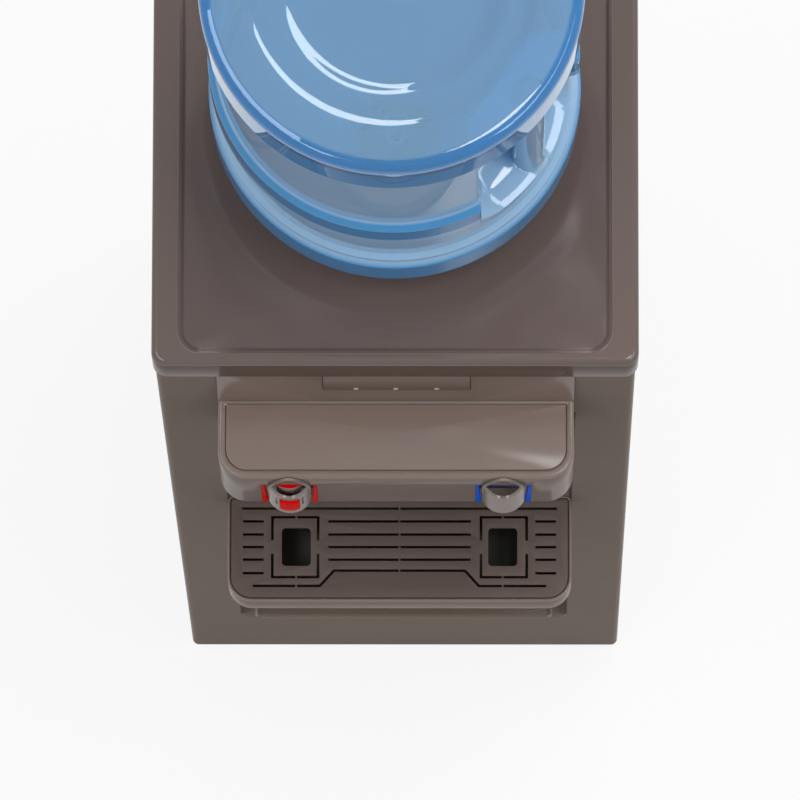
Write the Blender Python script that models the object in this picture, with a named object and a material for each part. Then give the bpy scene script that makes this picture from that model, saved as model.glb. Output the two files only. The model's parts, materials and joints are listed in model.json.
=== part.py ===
"""Floor-standing water dispenser with a 5-gallon bottle, hot and cold taps and a drip tray.

Metres, +Z up. The floor is z = 0, X is centred on the cabinet, and the front faces -Y.
The origin is at the middle of the whole object's footprint.
"""
import math

import bmesh
import bpy
from mathutils import Vector

# Fits
GAP = 0.0003               # running or seating gap between two pieces
OVERRUN = 0.004            # how far a cutter passes the face that it cuts
SHARP_DEGREES = 35
WELD = 0.00003             # points closer than this are one
ROUND_SIDES = 16
SMALL_SIDES = 12
PIN_SIDES = 10

# Cabinet
BODY_WIDTH = 0.339
BODY_DEPTH = 0.360
BODY_HEIGHT = 1.010        # panels, from their lower edge to the cover's lip
EDGE_RADIUS = 0.005        # upright front edges
PANEL_WALL = 0.0025
PANEL_FLANGE = 0.012       # inward edges of the side panels
REAR_FLANGE = 0.018
PANEL_RETURN = 0.030       # depth of the front panel's side walls
REAR_WALL = 0.002
CHANNEL_DEPTH = 0.015
CHANNEL_FOOT = 0.1124      # height of the ledge under the channel
CHANNEL_CORNER = 0.015

# Feet and base pan
FOOT_HEIGHT = 0.012
FOOT_RADIUS = 0.016
FOOT_INSET = 0.040
FOOT_TAPER = 0.002
PAN_WALL = 0.003
PAN_RIM = 0.030

# Top cover
COVER_OVERHANG = 0.002
COVER_LIP = 0.040
COVER_WALL = 0.003
COVER_CORNER = 0.010
COVER_EDGE = 0.005
BORDER_SIDE = 0.0195
BORDER_FRONT = 0.009
DISH_DEPTH = 0.002
DISH_SLOPE = 0.004
DISH_CORNER = 0.016
COVER_STEPS = 5
SEAT_HOLE_RADIUS = 0.100

# Bottle, with heights measured up or down from the top of the cover
BOTTLE_WALL = 0.0018
BOTTLE_TOP = 0.368
BOTTLE_BASE_FILLET = 0.008
BOTTLE_BASE_RADIUS = 0.120
BASE_STEP_RADIUS = 0.098
BASE_STEP_DEPTH = 0.004
BASE_CUP_RADIUS = 0.052
BASE_CUP_DEPTH = 0.012
RING_A_RADIUS = 0.1305
RING_A_LOW = 0.319
RING_A_HIGH = 0.354
WALL_RADIUS = 0.1235
RING_B_RADIUS = 0.1285
RING_B_LOW = 0.145
RING_B_HIGH = 0.180
RIB_RADIUS = 0.1275
RIB_HEIGHT = 0.086
RIB_GROOVE = 0.004
BAND_RADIUS = 0.1302
BAND_LOW = 0.040
BAND_HIGH = 0.077
RING_EASE = 0.006          # slope between a ring and the wall beside it
SHOULDER_RADIUS = 0.035
SHOULDER_DEGREES = 60
NECK_RADIUS = 0.0280
NECK_END = 0.095
NECK_EASE = 0.008
GRIP_AZIMUTH = 57.5        # degrees from the front towards +X
GRIP_WIDTH = 0.112
GRIP_DEPTH = 0.038
GRIP_LOW = 0.125
GRIP_HIGH = 0.290
GRIP_BAR_RADIUS = 0.011
GRIP_CORNER = 0.016
CORNER_LEAST_SHARE = 0.5     # keeps a wall from growing at the outline's sharp corners
BOTTLE_SIDES = 40

# Bottle cap, seat funnel and feed probe
CAP_WALL = 0.0014
CAP_HEIGHT = 0.034
CAP_HOLE_RADIUS = 0.0100
FUNNEL_FLANGE = 0.109
FUNNEL_WALL = 0.002
FUNNEL_THROAT = 0.042      # radius where the cone turns down to the socket
SOCKET_CLEAR = 0.0030
SOCKET_FLOOR_CLEAR = 0.0030
DOWNPIPE_RADIUS = 0.012
DOWNPIPE_WALL = 0.002
DOWNPIPE_LENGTH = 0.038
PROBE_RADIUS = 0.008
PROBE_BORE = 0.005
PROBE_FLANGE_RADIUS = 0.015
PROBE_FLANGE = 0.0015
PROBE_HEIGHT = 0.036
COLLAR_CLEAR = 0.0025      # between the seat and the edge of the cover's hole
SEAT_GAP = 0.0004

# Nose
NOSE_WIDTH = 0.2535
NOSE_REACH = 0.061
NOSE_DROP = 0.1514         # foot of the nose, below the cover's lip
NOSE_SHELF_DROP = 0.068
NOSE_CREASE_REACH = 0.005
NOSE_CORNER = 0.020
NOSE_EDGE = 0.0024
NOSE_WALL = 0.0025
TOP_PLATE_HALF = 0.121
TOP_PLATE_REACH = 0.055
TOP_PLATE_HEIGHT = 0.0012
TOP_PLATE_BACK = 0.0075
PLATE_CORNER = 0.015

# Display
DISPLAY_LEFT = -0.0514
DISPLAY_RIGHT = 0.0527
DISPLAY_DROP = 0.003       # upper edge, below the cover's lip
DISPLAY_HEIGHT = 0.035
DISPLAY_PROUD = 0.0008
DISPLAY_DEPTH = 0.0020
LENS_PLACES = (-0.0282, 0.0, 0.0291)
LENS_RISE = 0.0035         # above the display's lower edge
LENS_RADIUS = 0.0016
BOARD_HEIGHT = 0.026
BOARD_DEPTH = 0.0016
BOARD_MARGIN = 0.004
BOARD_CLEAR = 0.0010

# Taps
TAP_OFFSET = 0.0765
NOTCH_WIDTH = 0.040
NOTCH_RISE = 0.0604        # above the nose's foot
NOTCH_DEPTH = 0.039
TRIM_LEG = 0.0040
TRIM_DEPTH = 0.0040
WELL_WALL = 0.0016
WELL_BACK = 0.0022
VALVE_RADIUS = 0.0080
VALVE_REACH = 0.043        # from the front plane out to the valve's axis
VALVE_DROP = 0.0070        # top of the valve, below the lever's pivot
VALVE_HEIGHT = 0.0220
VALVE_WALL = 0.0020
SPOUT_RADIUS = 0.0058
SPOUT_BORE = 0.0036
SPOUT_LENGTH = 0.0130
BARREL_RADIUS = 0.0062
BARREL_BORE = 0.0034
BARREL_END = 0.0310        # behind the front plane
BARREL_RISE = 0.0125       # above the valve's foot
NUT_RADIUS = 0.0110
NUT_LENGTH = 0.0060
BARREL_FLANGE = 0.0028
BARREL_FLANGE_LENGTH = 0.0025
BARREL_CLEAR = 0.0008
STEM_RADIUS = 0.0021
STEM_HEAD_RADIUS = 0.0044
STEM_HEAD_HEIGHT = 0.0020
STEM_DISC_RADIUS = 0.0048
STEM_DISC_HEIGHT = 0.0020

# Levers
LEVER_WIDTH = 0.0305
LEVER_BULGE = 0.0075
LEVER_WALL = 0.0020
LEVER_TIP_RISE = 0.0010    # above the notch
LEVER_DIP = 0.0120         # how far the rim dips between its tips
LEVER_DROP = 0.0016        # below the nose's foot
LEVER_ARCH_RISE = 0.0235   # above the tips
LEVER_FOOT_CORNER = 0.0125
ARCH_SHARE = 0.9            # thickness of the upper rim, of the lever's wall
EAR_ROOT_SHARE = 0.4        # how far an ear runs into the tongue, of the wall
PIVOT_REACH = 0.055
PIVOT_RISE = 0.0474        # above the nose's foot
PIN_RADIUS = 0.0015
PIN_CLEAR = 0.0004
EAR_RADIUS = 0.0060
YOKE_RISE = 0.0005         # above the pivot
YOKE_HEIGHT = 0.0025
YOKE_BACK = 0.0125         # from the pivot to the ends of the prongs
YOKE_SLOT = 0.0058

# Safety button in the hot lever
BUTTON_WIDTH = 0.0140
BUTTON_RISE = 0.0124       # above the nose's foot
BUTTON_HEIGHT = 0.0280
BUTTON_PROUD = 0.0012
BUTTON_STUD_RADIUS = 0.0020
BUTTON_STUD_CLEAR = 0.0003
BUTTON_STUD_LENGTH = 0.0050
BUTTON_TRAVEL = 0.0025
GUIDE_HALF = 0.0090
GUIDE_DEPTH = 0.0045
GUIDE_ABOVE = 0.0055       # how far the guide stands above the button

# Drip tray, grid and holder
TRAY_DROP = 0.2686         # below the nose's foot
TRAY_HEIGHT = 0.031
TRAY_HALF = 0.1278
TRAY_REACH = 0.0805
TRAY_BACK = 0.0005         # gap between the tray and the front plane
TRAY_CORNER = 0.018
TRAY_REAR_CORNER = 0.0045
TRAY_WALL = 0.0018
TRAY_RIM = 0.0019
TRAY_LEDGE = 0.0025
TRAY_CORNER_SHARE = 0.3
GRID_CLEAR = 0.0006
GRID_HEIGHT = 0.0030
HOLDER_HALF = 0.090
HOLDER_WALL = 0.0030
HOLDER_RISE = 0.020
HOLDER_REACH = 0.055

# Grid pattern, as X and reach from the front plane
SLOT_WIDTH = 0.0020
SLOT_BRIDGE = 0.0012
SLOT_BACK_REACH = 0.0105
SLOT_BACK_HALF = 0.1172
SLOT_ROWS = (0.0202, 0.0302, 0.0397, 0.0493)
SLOT_CENTRE_HALF = 0.0530
SLOT_SIDE_INNER = 0.1010
SLOT_SIDE_OUTER = 0.1165
SLOT_SIDE_ROW = 0.0595
KINK_HALF = 0.0487
KINK_OUT = 0.0591
KINK_END = 0.1090
KINK_NEAR_REACH = 0.0576
KINK_FAR_REACH = 0.0692
BRACKET_INNER = 0.0606
BRACKET_OUTER = 0.0946
BRACKET_BACK = 0.0170
BRACKET_FRONT = 0.0625
BRACKET_BREAK = 0.0100
HOLE_INNER = 0.0660
HOLE_OUTER = 0.0876
HOLE_BACK = 0.0252
HOLE_FRONT = 0.0541
HOLE_CORNER = 0.0030

# Cold tank, on the upper shelf
TANK_SIDES = 24
COLD_RADIUS = 0.080
COLD_WALL = 0.0015
COLD_DROP = 0.094          # rim of the tank, below the cover's lip
COLD_HEIGHT = 0.178
COLD_LID = 0.004
FOAM_RADIUS = 0.110
FOAM_BORE = 0.090
FOAM_FLOOR = 0.015
BAFFLE_RISE = 0.117        # above the tank's foot
BAFFLE_WALL = 0.002
BAFFLE_CLEAR = 0.002
BAFFLE_TUBE_RADIUS = 0.0085
BAFFLE_TUBE_BORE = 0.0065
STUB_RADIUS = 0.0050
STUB_BORE = 0.0032
STUB_DROP = 0.038
SHELF_WALL = 0.003
SHELF_FLANGE = 0.020
SHELF_FRONT = 0.034        # behind the front plane
SHELF_REAR_CLEAR = 0.004
SHELF_HOLE_CLEAR = 0.003

# Hot tank, on the lower shelf
HOT_X = -0.060
HOT_AHEAD = 0.070          # ahead of the bottle's axis
HOT_RADIUS = 0.048
HOT_WALL = 0.0015
HOT_DROP = 0.118           # top of the hot tank, below the cold tank's foot
HOT_HEIGHT = 0.120
HOT_STUB_RISE = 0.023
BAND_THICK = 0.0025
BAND_RISE = 0.030          # above the hot tank's foot
BAND_HEIGHT = 0.035
HOT_FOAM_BORE = 0.053
HOT_FOAM_RADIUS = 0.066
HOT_FOAM_FLOOR = 0.012
CRADLE_HALF = 0.030

# Hoses and pipes
HOSE_RADIUS = 0.0050
HOSE_GAP = 0.0006          # between a hose and the stub that it meets
HOT_OUT_AHEAD = 0.092
FEED_X = -0.035
FEED_AHEAD = 0.055
COLD_OUT_X = 0.040
COLD_OUT_AHEAD = 0.050
COLD_HOSE_AHEAD = 0.092
COLD_HOSE_DIP = 0.040
DRAIN_DROP = 0.105         # below the hot tank's foot
DRAIN_HOSE_DROP = 0.030
PIPE_RADIUS = 0.0030
PIPE_SIDES_STEP = 1
EVAPORATOR_RADIUS = 0.0848
EVAPORATOR_RISE = 0.017    # above the tank's foot
EVAPORATOR_PITCH = 0.020
EVAPORATOR_TURNS = 4
EVAPORATOR_STEPS = 24
EVAPORATOR_BEND = 0.010
EVAPORATOR_EXIT_RISE = 0.152
EVAPORATOR_EXIT_CLEAR = 0.030   # ahead of the pipe that runs down inside the back

# Compressor
COMPRESSOR_RADIUS = 0.072
COMPRESSOR_AHEAD = 0.160   # ahead of the rear face
COMPRESSOR_HEIGHT = 0.150
COMPRESSOR_DOME = 0.030
COMPRESSOR_PLATE = 0.003
COMPRESSOR_PLATE_HALF_X = 0.100
COMPRESSOR_PLATE_HALF_Y = 0.082
GROMMET_RADIUS = 0.011
GROMMET_HEIGHT = 0.014
GROMMET_INSET = 0.014
PORT_OFFSET = 0.030
PORT_RISE = 0.012
DRIER_RADIUS = 0.009
DRIER_LENGTH = 0.090
DRIER_TAPER = 0.010
PIPE_WALL_CLEAR = 0.020    # pipes stand this far in from the rear panel
CAPILLARY_RADIUS = 0.0015

# Condenser on the back
CONDENSER_STANDOFF = 0.020
CONDENSER_MARGIN = 0.0445  # from the cabinet's side to the bends
CONDENSER_DROP = 0.130     # top run, below the cover's lip
CONDENSER_PITCH = 0.042
CONDENSER_RUNS = 11
CONDENSER_RADIUS = 0.0030
CONDENSER_BEND_STEPS = 5
STRAP_MARGIN = 0.045       # from the bends in to the straps
STRAP_WALL = 0.003
STRAP_END = 0.012
STRAP_SHARE = 0.5           # how deep the straps grip the tube, of its radius
PIPE_HOLE_CLEAR = 0.002
CONDENSER_TURN = 0.010     # bend that leads each end into the cabinet
CONDENSER_IN = 0.008

# Rear panel fittings
LOUVRE_COUNT = 8
LOUVRE_MARGIN = 0.0895     # from the cabinet's side
LOUVRE_HEIGHT = 0.006
LOUVRE_PITCH = 0.016
LOUVRE_LOW = 0.070
SWITCH_OFFSET = 0.035
SWITCH_DROP = 0.048        # below the cover's lip
SWITCH_WIDTH = 0.014
SWITCH_LENGTH = 0.022
SWITCH_BODY_DEPTH = 0.016
SWITCH_WALL = 0.0018
BEZEL_RIM = 0.0022
BEZEL_PROUD = 0.0014
ROCKER_RADIUS = 0.0078
ROCKER_DEPTH = 0.0055      # pivot, in from the rear face
ROCKER_END_REACH = 0.0074
ROCKER_END_HALF = 0.0070
ROCKER_MIDDLE_REACH = 0.0058
ROCKER_TILT = 8
SWITCH_POCKET = 0.0150
DRAIN_RADIUS = 0.0095
DRAIN_BORE = 0.0045
DRAIN_FLANGE_RADIUS = 0.0140
DRAIN_FLANGE = 0.0020
DRAIN_OUT = 0.014
DRAIN_IN = 0.014
DRAIN_CAP_WALL = 0.0018
GLAND_MARGIN = 0.0545      # from the cabinet's side
GLAND_RISE = 0.085         # above the panels' lower edge
GLAND_RADIUS = 0.0080
GLAND_FLANGE_RADIUS = 0.0120
GLAND_FLANGE = 0.0030
GLAND_OUT = 0.012
GLAND_IN = 0.006
GLAND_BORE = 0.0038

# Places worked out from the sizes above
BASE_Z = FOOT_HEIGHT
LIP_Z = BASE_Z + BODY_HEIGHT
TOP_Z = LIP_Z + COVER_LIP
SEAT_Z = TOP_Z - DISH_DEPTH
HALF_WIDTH = BODY_WIDTH / 2
REAR_REACH = CONDENSER_STANDOFF + CONDENSER_RADIUS
FRONT_Y = TRAY_REACH - (TRAY_REACH + BODY_DEPTH + REAR_REACH) / 2
REAR_Y = FRONT_Y + BODY_DEPTH
AXIS_Y = FRONT_Y + BODY_DEPTH / 2
CHANNEL_HALF = NOSE_WIDTH / 2 + GAP
CHANNEL_BACK_Y = FRONT_Y + CHANNEL_DEPTH
NOSE_BACK_Y = CHANNEL_BACK_Y - GAP
HOT_Y = AXIS_Y - HOT_AHEAD
VALVE_Y = FRONT_Y - VALVE_REACH
PIVOT_Y = FRONT_Y - PIVOT_REACH
LEVER_BACK_Y = FRONT_Y - NOSE_REACH - GAP
NOSE_FOOT_Z = LIP_Z - NOSE_DROP
NOSE_SHELF_Z = LIP_Z - NOSE_SHELF_DROP
DISPLAY_TOP_Z = LIP_Z - DISPLAY_DROP
DISPLAY_FOOT_Z = DISPLAY_TOP_Z - DISPLAY_HEIGHT
NOTCH_TOP_Z = NOSE_FOOT_Z + NOTCH_RISE
PIVOT_Z = NOSE_FOOT_Z + PIVOT_RISE
YOKE_Z = PIVOT_Z + YOKE_RISE
VALVE_TOP_Z = PIVOT_Z - VALVE_DROP
VALVE_FOOT_Z = VALVE_TOP_Z - VALVE_HEIGHT
SPOUT_END_Z = VALVE_FOOT_Z - SPOUT_LENGTH
BARREL_Z = VALVE_FOOT_Z + BARREL_RISE
BUTTON_FOOT_Z = NOSE_FOOT_Z + BUTTON_RISE
BUTTON_TOP_Z = BUTTON_FOOT_Z + BUTTON_HEIGHT
TRAY_TOP_Z = NOSE_FOOT_Z - TRAY_DROP
COLD_TOP_Z = LIP_Z - COLD_DROP
COLD_FOOT_Z = COLD_TOP_Z - COLD_HEIGHT
COLD_STUB_Z = COLD_FOOT_Z - STUB_DROP
SHELF_Z = COLD_FOOT_Z - GAP - FOAM_FLOOR - GAP
HOT_TOP_Z = COLD_FOOT_Z - HOT_DROP
HOT_FOOT_Z = HOT_TOP_Z - HOT_HEIGHT
HOT_STUB_Z = HOT_TOP_Z + HOT_STUB_RISE
HOT_SHELF_Z = HOT_FOOT_Z - GAP - HOT_FOAM_FLOOR - GAP
DRAIN_Z = HOT_FOOT_Z - DRAIN_DROP
EVAPORATOR_EXIT_Z = COLD_FOOT_Z + EVAPORATOR_EXIT_RISE
SWITCH_Z = LIP_Z - SWITCH_DROP
CONDENSER_HALF = HALF_WIDTH - CONDENSER_MARGIN
CONDENSER_X = CONDENSER_HALF + CONDENSER_TURN
CONDENSER_TOP_Z = LIP_Z - CONDENSER_DROP
CONDENSER_FOOT_Z = CONDENSER_TOP_Z - (CONDENSER_RUNS - 1) * CONDENSER_PITCH
STRAP_INNER = CONDENSER_HALF - STRAP_MARGIN
LOUVRE_HALF = HALF_WIDTH - LOUVRE_MARGIN
GLAND_X = HALF_WIDTH - GLAND_MARGIN
GLAND_Z = BASE_Z + GLAND_RISE
CONDENSER_Y = REAR_Y + CONDENSER_STANDOFF
CONDENSER_END_Y = REAR_Y - REAR_WALL - CONDENSER_IN
RISER_Y = REAR_Y - REAR_WALL - PIPE_WALL_CLEAR
EVAPORATOR_EXIT_Y = RISER_Y - EVAPORATOR_EXIT_CLEAR
COMPRESSOR_FOOT_Z = BASE_Z + PANEL_WALL + 3 * GAP + PAN_WALL + GROMMET_HEIGHT
COMPRESSOR_Y = REAR_Y - COMPRESSOR_AHEAD
PORT_Y = COMPRESSOR_Y + PORT_OFFSET
PORT_Z = COMPRESSOR_FOOT_Z + COMPRESSOR_HEIGHT + PORT_RISE


def height(above_base):
    """World height of a place that is given above the panels' lower edge."""
    return BASE_Z + above_base


def behind(distance):
    """World Y of a place behind the front plane, or before it when negative."""
    return FRONT_Y + distance


def ahead(distance):
    """World Y of a place ahead of the bottle's axis."""
    return AXIS_Y - distance


# Finishes: colour, roughness, metallic value
FINISHES = {
    "cover_plastic": ("665855", 0.28, 0.0),
    "panel_plastic": ("6d605a", 0.35, 0.0),
    "nose_plastic": ("766963", 0.30, 0.0),
    "dark_grid_plastic": ("5e534f", 0.40, 0.0),
    "black_plastic": ("1c1512", 0.45, 0.0),
    "grey_plastic": ("8c8a88", 0.40, 0.0),
    "white_plastic": ("e4e2dd", 0.35, 0.0),
    "red_plastic": ("c80a0a", 0.25, 0.0),
    "blue_plastic": ("1560c8", 0.25, 0.0),
    "bottle_plastic": ("5f93bd", 0.10, 0.0),
    "painted_steel": ("5b504c", 0.45, 0.0),
    "black_steel": ("17181a", 0.40, 0.0),
    "bare_steel": ("b9bbbd", 0.30, 1.0),
    "copper": ("b5673a", 0.30, 1.0),
    "foam": ("e9e2cf", 0.90, 0.0),
    "rubber": ("1d1d1e", 0.80, 0.0),
    "silicone": ("d9dcd8", 0.50, 0.0),
    "circuit_board": ("1f5a36", 0.50, 0.0),
}


def linear(value):
    """Linear value of one sRGB channel."""
    if value <= 0.04045:
        return value / 12.92
    return ((value + 0.055) / 1.055) ** 2.4


def paint(item, finish):
    """Give an object a material of its own in the named finish."""
    colour, roughness, metallic = FINISHES[finish]
    channels = [linear(int(colour[place:place + 2], ROUND_SIDES) / 255) for place in (0, 2, 4)]
    material = bpy.data.materials.new(item.name + "_finish")
    material.use_nodes = True
    shader = material.node_tree.nodes["Principled BSDF"]
    shader.inputs["Base Color"].default_value = (*channels, 1.0)
    shader.inputs["Roughness"].default_value = roughness
    shader.inputs["Metallic"].default_value = metallic
    item.data.materials.clear()
    item.data.materials.append(material)
    return item


def add_mesh(name, points, faces):
    """Make an object from points and faces, with its faces turned outwards."""
    mesh = bpy.data.meshes.new(name)
    shape = bmesh.new()
    corners = [shape.verts.new(point) for point in points]
    for face in faces:
        shape.faces.new([corners[index] for index in face])
    bmesh.ops.recalc_face_normals(shape, faces=shape.faces)
    shape.to_mesh(mesh)
    shape.free()
    item = bpy.data.objects.new(name, mesh)
    bpy.context.scene.collection.objects.link(item)
    return item


def smooth(item):
    """Shade an object round, with creases kept sharp."""
    item.data.shade_smooth()
    item.data.set_sharp_from_angle(angle=math.radians(SHARP_DEGREES))
    return item


def combine(item, tool, operation):
    """Apply one Boolean of a tool object to an item, and remove the tool."""
    modifier = item.modifiers.new(operation.lower(), "BOOLEAN")
    modifier.object = tool
    modifier.operation = operation
    modifier.solver = "EXACT"
    bpy.context.view_layer.update()
    graph = bpy.context.evaluated_depsgraph_get()
    result = bpy.data.meshes.new_from_object(item.evaluated_get(graph))
    item.modifiers.clear()
    item.data = result
    bpy.data.objects.remove(tool, do_unlink=True)
    return item


def cut(item, *tools):
    """Cut each tool out of an item."""
    for tool in tools:
        combine(item, tool, "DIFFERENCE")
    return item


def unite(item, *tools):
    """Fuse each tool to an item."""
    for tool in tools:
        combine(item, tool, "UNION")
    return item


def join(name, items):
    """Put separate solids into one object, without fusing them."""
    mesh = bpy.data.meshes.new(name)
    shape = bmesh.new()
    for item in items:
        shape.from_mesh(item.data)
    shape.to_mesh(mesh)
    shape.free()
    for item in items:
        bpy.data.objects.remove(item, do_unlink=True)
    group = bpy.data.objects.new(name, mesh)
    bpy.context.scene.collection.objects.link(group)
    return group


def set_origin(item, point):
    """Move an object's origin to a point, with its shape left in place."""
    for corner in item.data.vertices:
        corner.co -= Vector(point)
    item.location = point
    return item


def block(name, x_range, y_range, z_range):
    """Make a box between two places on each axis."""
    points = [(x, y, z) for z in z_range for y in y_range for x in x_range]
    faces = [(0, 1, 3, 2), (4, 5, 7, 6), (0, 1, 5, 4), (2, 3, 7, 6), (0, 2, 6, 4), (1, 3, 7, 5)]
    return add_mesh(name, points, faces)


def loft(name, rings, closed=False):
    """Join rings of equal count in order, and close the ends or the loop."""
    count = len(rings[0])
    points = [point for ring in rings for point in ring]
    faces = []
    spans = len(rings) if closed else len(rings) - 1
    for row in range(spans):
        low = row * count
        high = (row + 1) % len(rings) * count
        for step in range(count):
            after = (step + 1) % count
            faces.append((low + step, low + after, high + after, high + step))
    if not closed:
        faces.append(tuple(range(count)))
        faces.append(tuple(range(len(points) - count, len(points))))
    return add_mesh(name, points, faces)


def prism(name, outline, axis, span):
    """Carry a flat outline along an axis, between the two places of a span."""
    rings = []
    for place in span:
        if axis == "X":
            rings.append([(place, first, second) for first, second in outline])
        elif axis == "Y":
            rings.append([(first, place, second) for first, second in outline])
        else:
            rings.append([(first, second, place) for first, second in outline])
    return loft(name, rings)


def arc(centre, radius, start, stop, steps):
    """Points along an arc, with its angles in degrees."""
    points = []
    for step in range(steps + 1):
        angle = math.radians(start + (stop - start) * step / steps)
        across = centre[0] + radius * math.cos(angle)
        along = centre[1] + radius * math.sin(angle)
        points.append((across, along))
    return points


def corner(centre, radius, start, steps):
    """Points of a quarter round, or the bare corner where the radius is zero."""
    if radius == 0:
        return [centre]
    return arc(centre, radius, start, start + 90, steps)


def rounded(x_range, y_range, near, far, steps=4):
    """Outline of a rectangle with one radius at its low-Y corners and one at its high-Y corners."""
    left, right = x_range
    low, high = y_range
    outline = []
    outline += corner((left + near, low + near), near, 180, steps)
    outline += corner((right - near, low + near), near, 270, steps)
    outline += corner((right - far, high - far), far, 0, steps)
    outline += corner((left + far, high - far), far, 90, steps)
    return outline


def turned(name, profile, place, sides=TANK_SIDES, axis="Z", closed=False, start=0.0):
    """Turn a profile of radius and height pairs round an axis through a place."""
    points = []
    rows = []
    for radius, rise in profile:
        steps = 1 if radius == 0 else sides
        rows.append((len(points), steps))
        for step in range(steps):
            angle = math.radians(start) + 2 * math.pi * step / sides
            first = radius * math.cos(angle)
            second = radius * math.sin(angle)
            if axis == "Z":
                offset = (first, second, rise)
            elif axis == "Y":
                offset = (second, rise, first)
            else:
                offset = (rise, first, second)
            points.append(tuple(place[index] + offset[index] for index in range(3)))
    faces = []
    spans = len(rows) if closed else len(rows) - 1
    for row in range(spans):
        low, low_steps = rows[row]
        high, high_steps = rows[(row + 1) % len(rows)]
        for step in range(sides):
            after = (step + 1) % sides
            if low_steps == 1:
                faces.append((low, high + after, high + step))
            elif high_steps == 1:
                faces.append((low + step, low + after, high))
            else:
                faces.append((low + step, low + after, high + after, high + step))
    if not closed:
        for start_row, steps in (rows[0], rows[-1]):
            if steps > 1:
                faces.append(tuple(range(start_row, start_row + steps)))
    return add_mesh(name, points, faces)


def rod(name, radius, place, span, sides=SMALL_SIDES, axis="Z"):
    """Make a round bar round an axis, between two offsets from a place."""
    return turned(name, [(radius, span[0]), (radius, span[1])], place, sides, axis)


def tube(name, outer, bore, place, span, sides=ROUND_SIDES, axis="Z"):
    """Make a round tube with a straight bore."""
    low, high = span
    profile = [(outer, low), (outer, high), (bore, high), (bore, low)]
    return turned(name, profile, place, sides, axis, closed=True)


def smooth_route(stops, steps):
    """Points of a smooth curve that passes through every stop."""
    ends = [Vector(stop) for stop in stops]
    ends = [ends[0] * 2 - ends[1]] + ends + [ends[-1] * 2 - ends[-2]]
    points = []
    for index in range(1, len(ends) - 2):
        before, near, far, after = ends[index - 1:index + 3]
        for step in range(steps):
            share = step / steps
            pull = (far - before) * share + (2 * before - 5 * near + 4 * far - after) * share ** 2
            push = (3 * near - before - 3 * far + after) * share ** 3
            points.append(near + (pull + push) / 2)
    points.append(ends[-2])
    return points


def pipe(name, points, radius, step=PIPE_SIDES_STEP):
    """Make a round pipe along a line of points."""
    curve = bpy.data.curves.new(name, "CURVE")
    curve.dimensions = "3D"
    curve.bevel_depth = radius
    curve.bevel_resolution = step
    curve.use_fill_caps = True
    line = curve.splines.new("POLY")
    line.points.add(len(points) - 1)
    for spot, point in zip(line.points, points):
        spot.co = (*point, 1.0)
    item = bpy.data.objects.new(name, curve)
    bpy.context.scene.collection.objects.link(item)
    return item


def meshed(item):
    """Turn a pipe's curve into a mesh, so that it can be fused to a solid."""
    bpy.context.view_layer.update()
    graph = bpy.context.evaluated_depsgraph_get()
    mesh = bpy.data.meshes.new_from_object(item.evaluated_get(graph))
    name = item.name
    bpy.data.objects.remove(item, do_unlink=True)
    solid = bpy.data.objects.new(name, mesh)
    bpy.context.scene.collection.objects.link(solid)
    shape = bmesh.new()
    shape.from_mesh(mesh)
    bmesh.ops.remove_doubles(shape, verts=shape.verts, dist=WELD)
    bmesh.ops.recalc_face_normals(shape, faces=shape.faces)
    shape.to_mesh(mesh)
    shape.free()
    return solid


def circle(radius, level, count):
    """Ring of points round the bottle's axis, in step with a rounded outline."""
    ring = []
    for step in range(count):
        angle = math.radians(180 + (step + 0.5) * 360 / count)
        ring.append((radius * math.cos(angle), AXIS_Y + radius * math.sin(angle), level))
    return ring


def make_cover():
    """Top cover: deep lip, raised border, shallow dish and the hole for the seat."""
    half_x = HALF_WIDTH + COVER_OVERHANG
    half_y = BODY_DEPTH / 2 + COVER_OVERHANG
    ease = COVER_EDGE * (1 - math.cos(math.radians(45)))

    def ring(side, end, radius, level):
        x_range = (-half_x + side, half_x - side)
        y_range = (AXIS_Y - half_y + end, AXIS_Y + half_y - end)
        outline = rounded(x_range, y_range, radius, radius, COVER_STEPS)
        return [(x, y, level) for x, y in outline]

    inner = COVER_CORNER - COVER_WALL
    dish_side = BORDER_SIDE + DISH_SLOPE
    dish_front = BORDER_FRONT + DISH_SLOPE
    count = 4 * (COVER_STEPS + 1)
    rings = [
        ring(0, 0, COVER_CORNER, LIP_Z),
        ring(0, 0, COVER_CORNER, TOP_Z - COVER_EDGE),
        ring(ease, ease, COVER_CORNER - ease, TOP_Z - ease),
        ring(COVER_EDGE, COVER_EDGE, COVER_CORNER - COVER_EDGE, TOP_Z),
        ring(BORDER_SIDE, BORDER_FRONT, DISH_CORNER, TOP_Z),
        ring(dish_side, dish_front, DISH_CORNER, SEAT_Z),
        circle(SEAT_HOLE_RADIUS, SEAT_Z, count),
        circle(SEAT_HOLE_RADIUS, SEAT_Z - COVER_WALL, count),
        ring(COVER_WALL, COVER_WALL, inner, SEAT_Z - COVER_WALL),
        ring(COVER_WALL, COVER_WALL, inner, LIP_Z),
    ]
    cover = loft("top_cover", rings, closed=True)
    return paint(smooth(cover), "cover_plastic")


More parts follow.
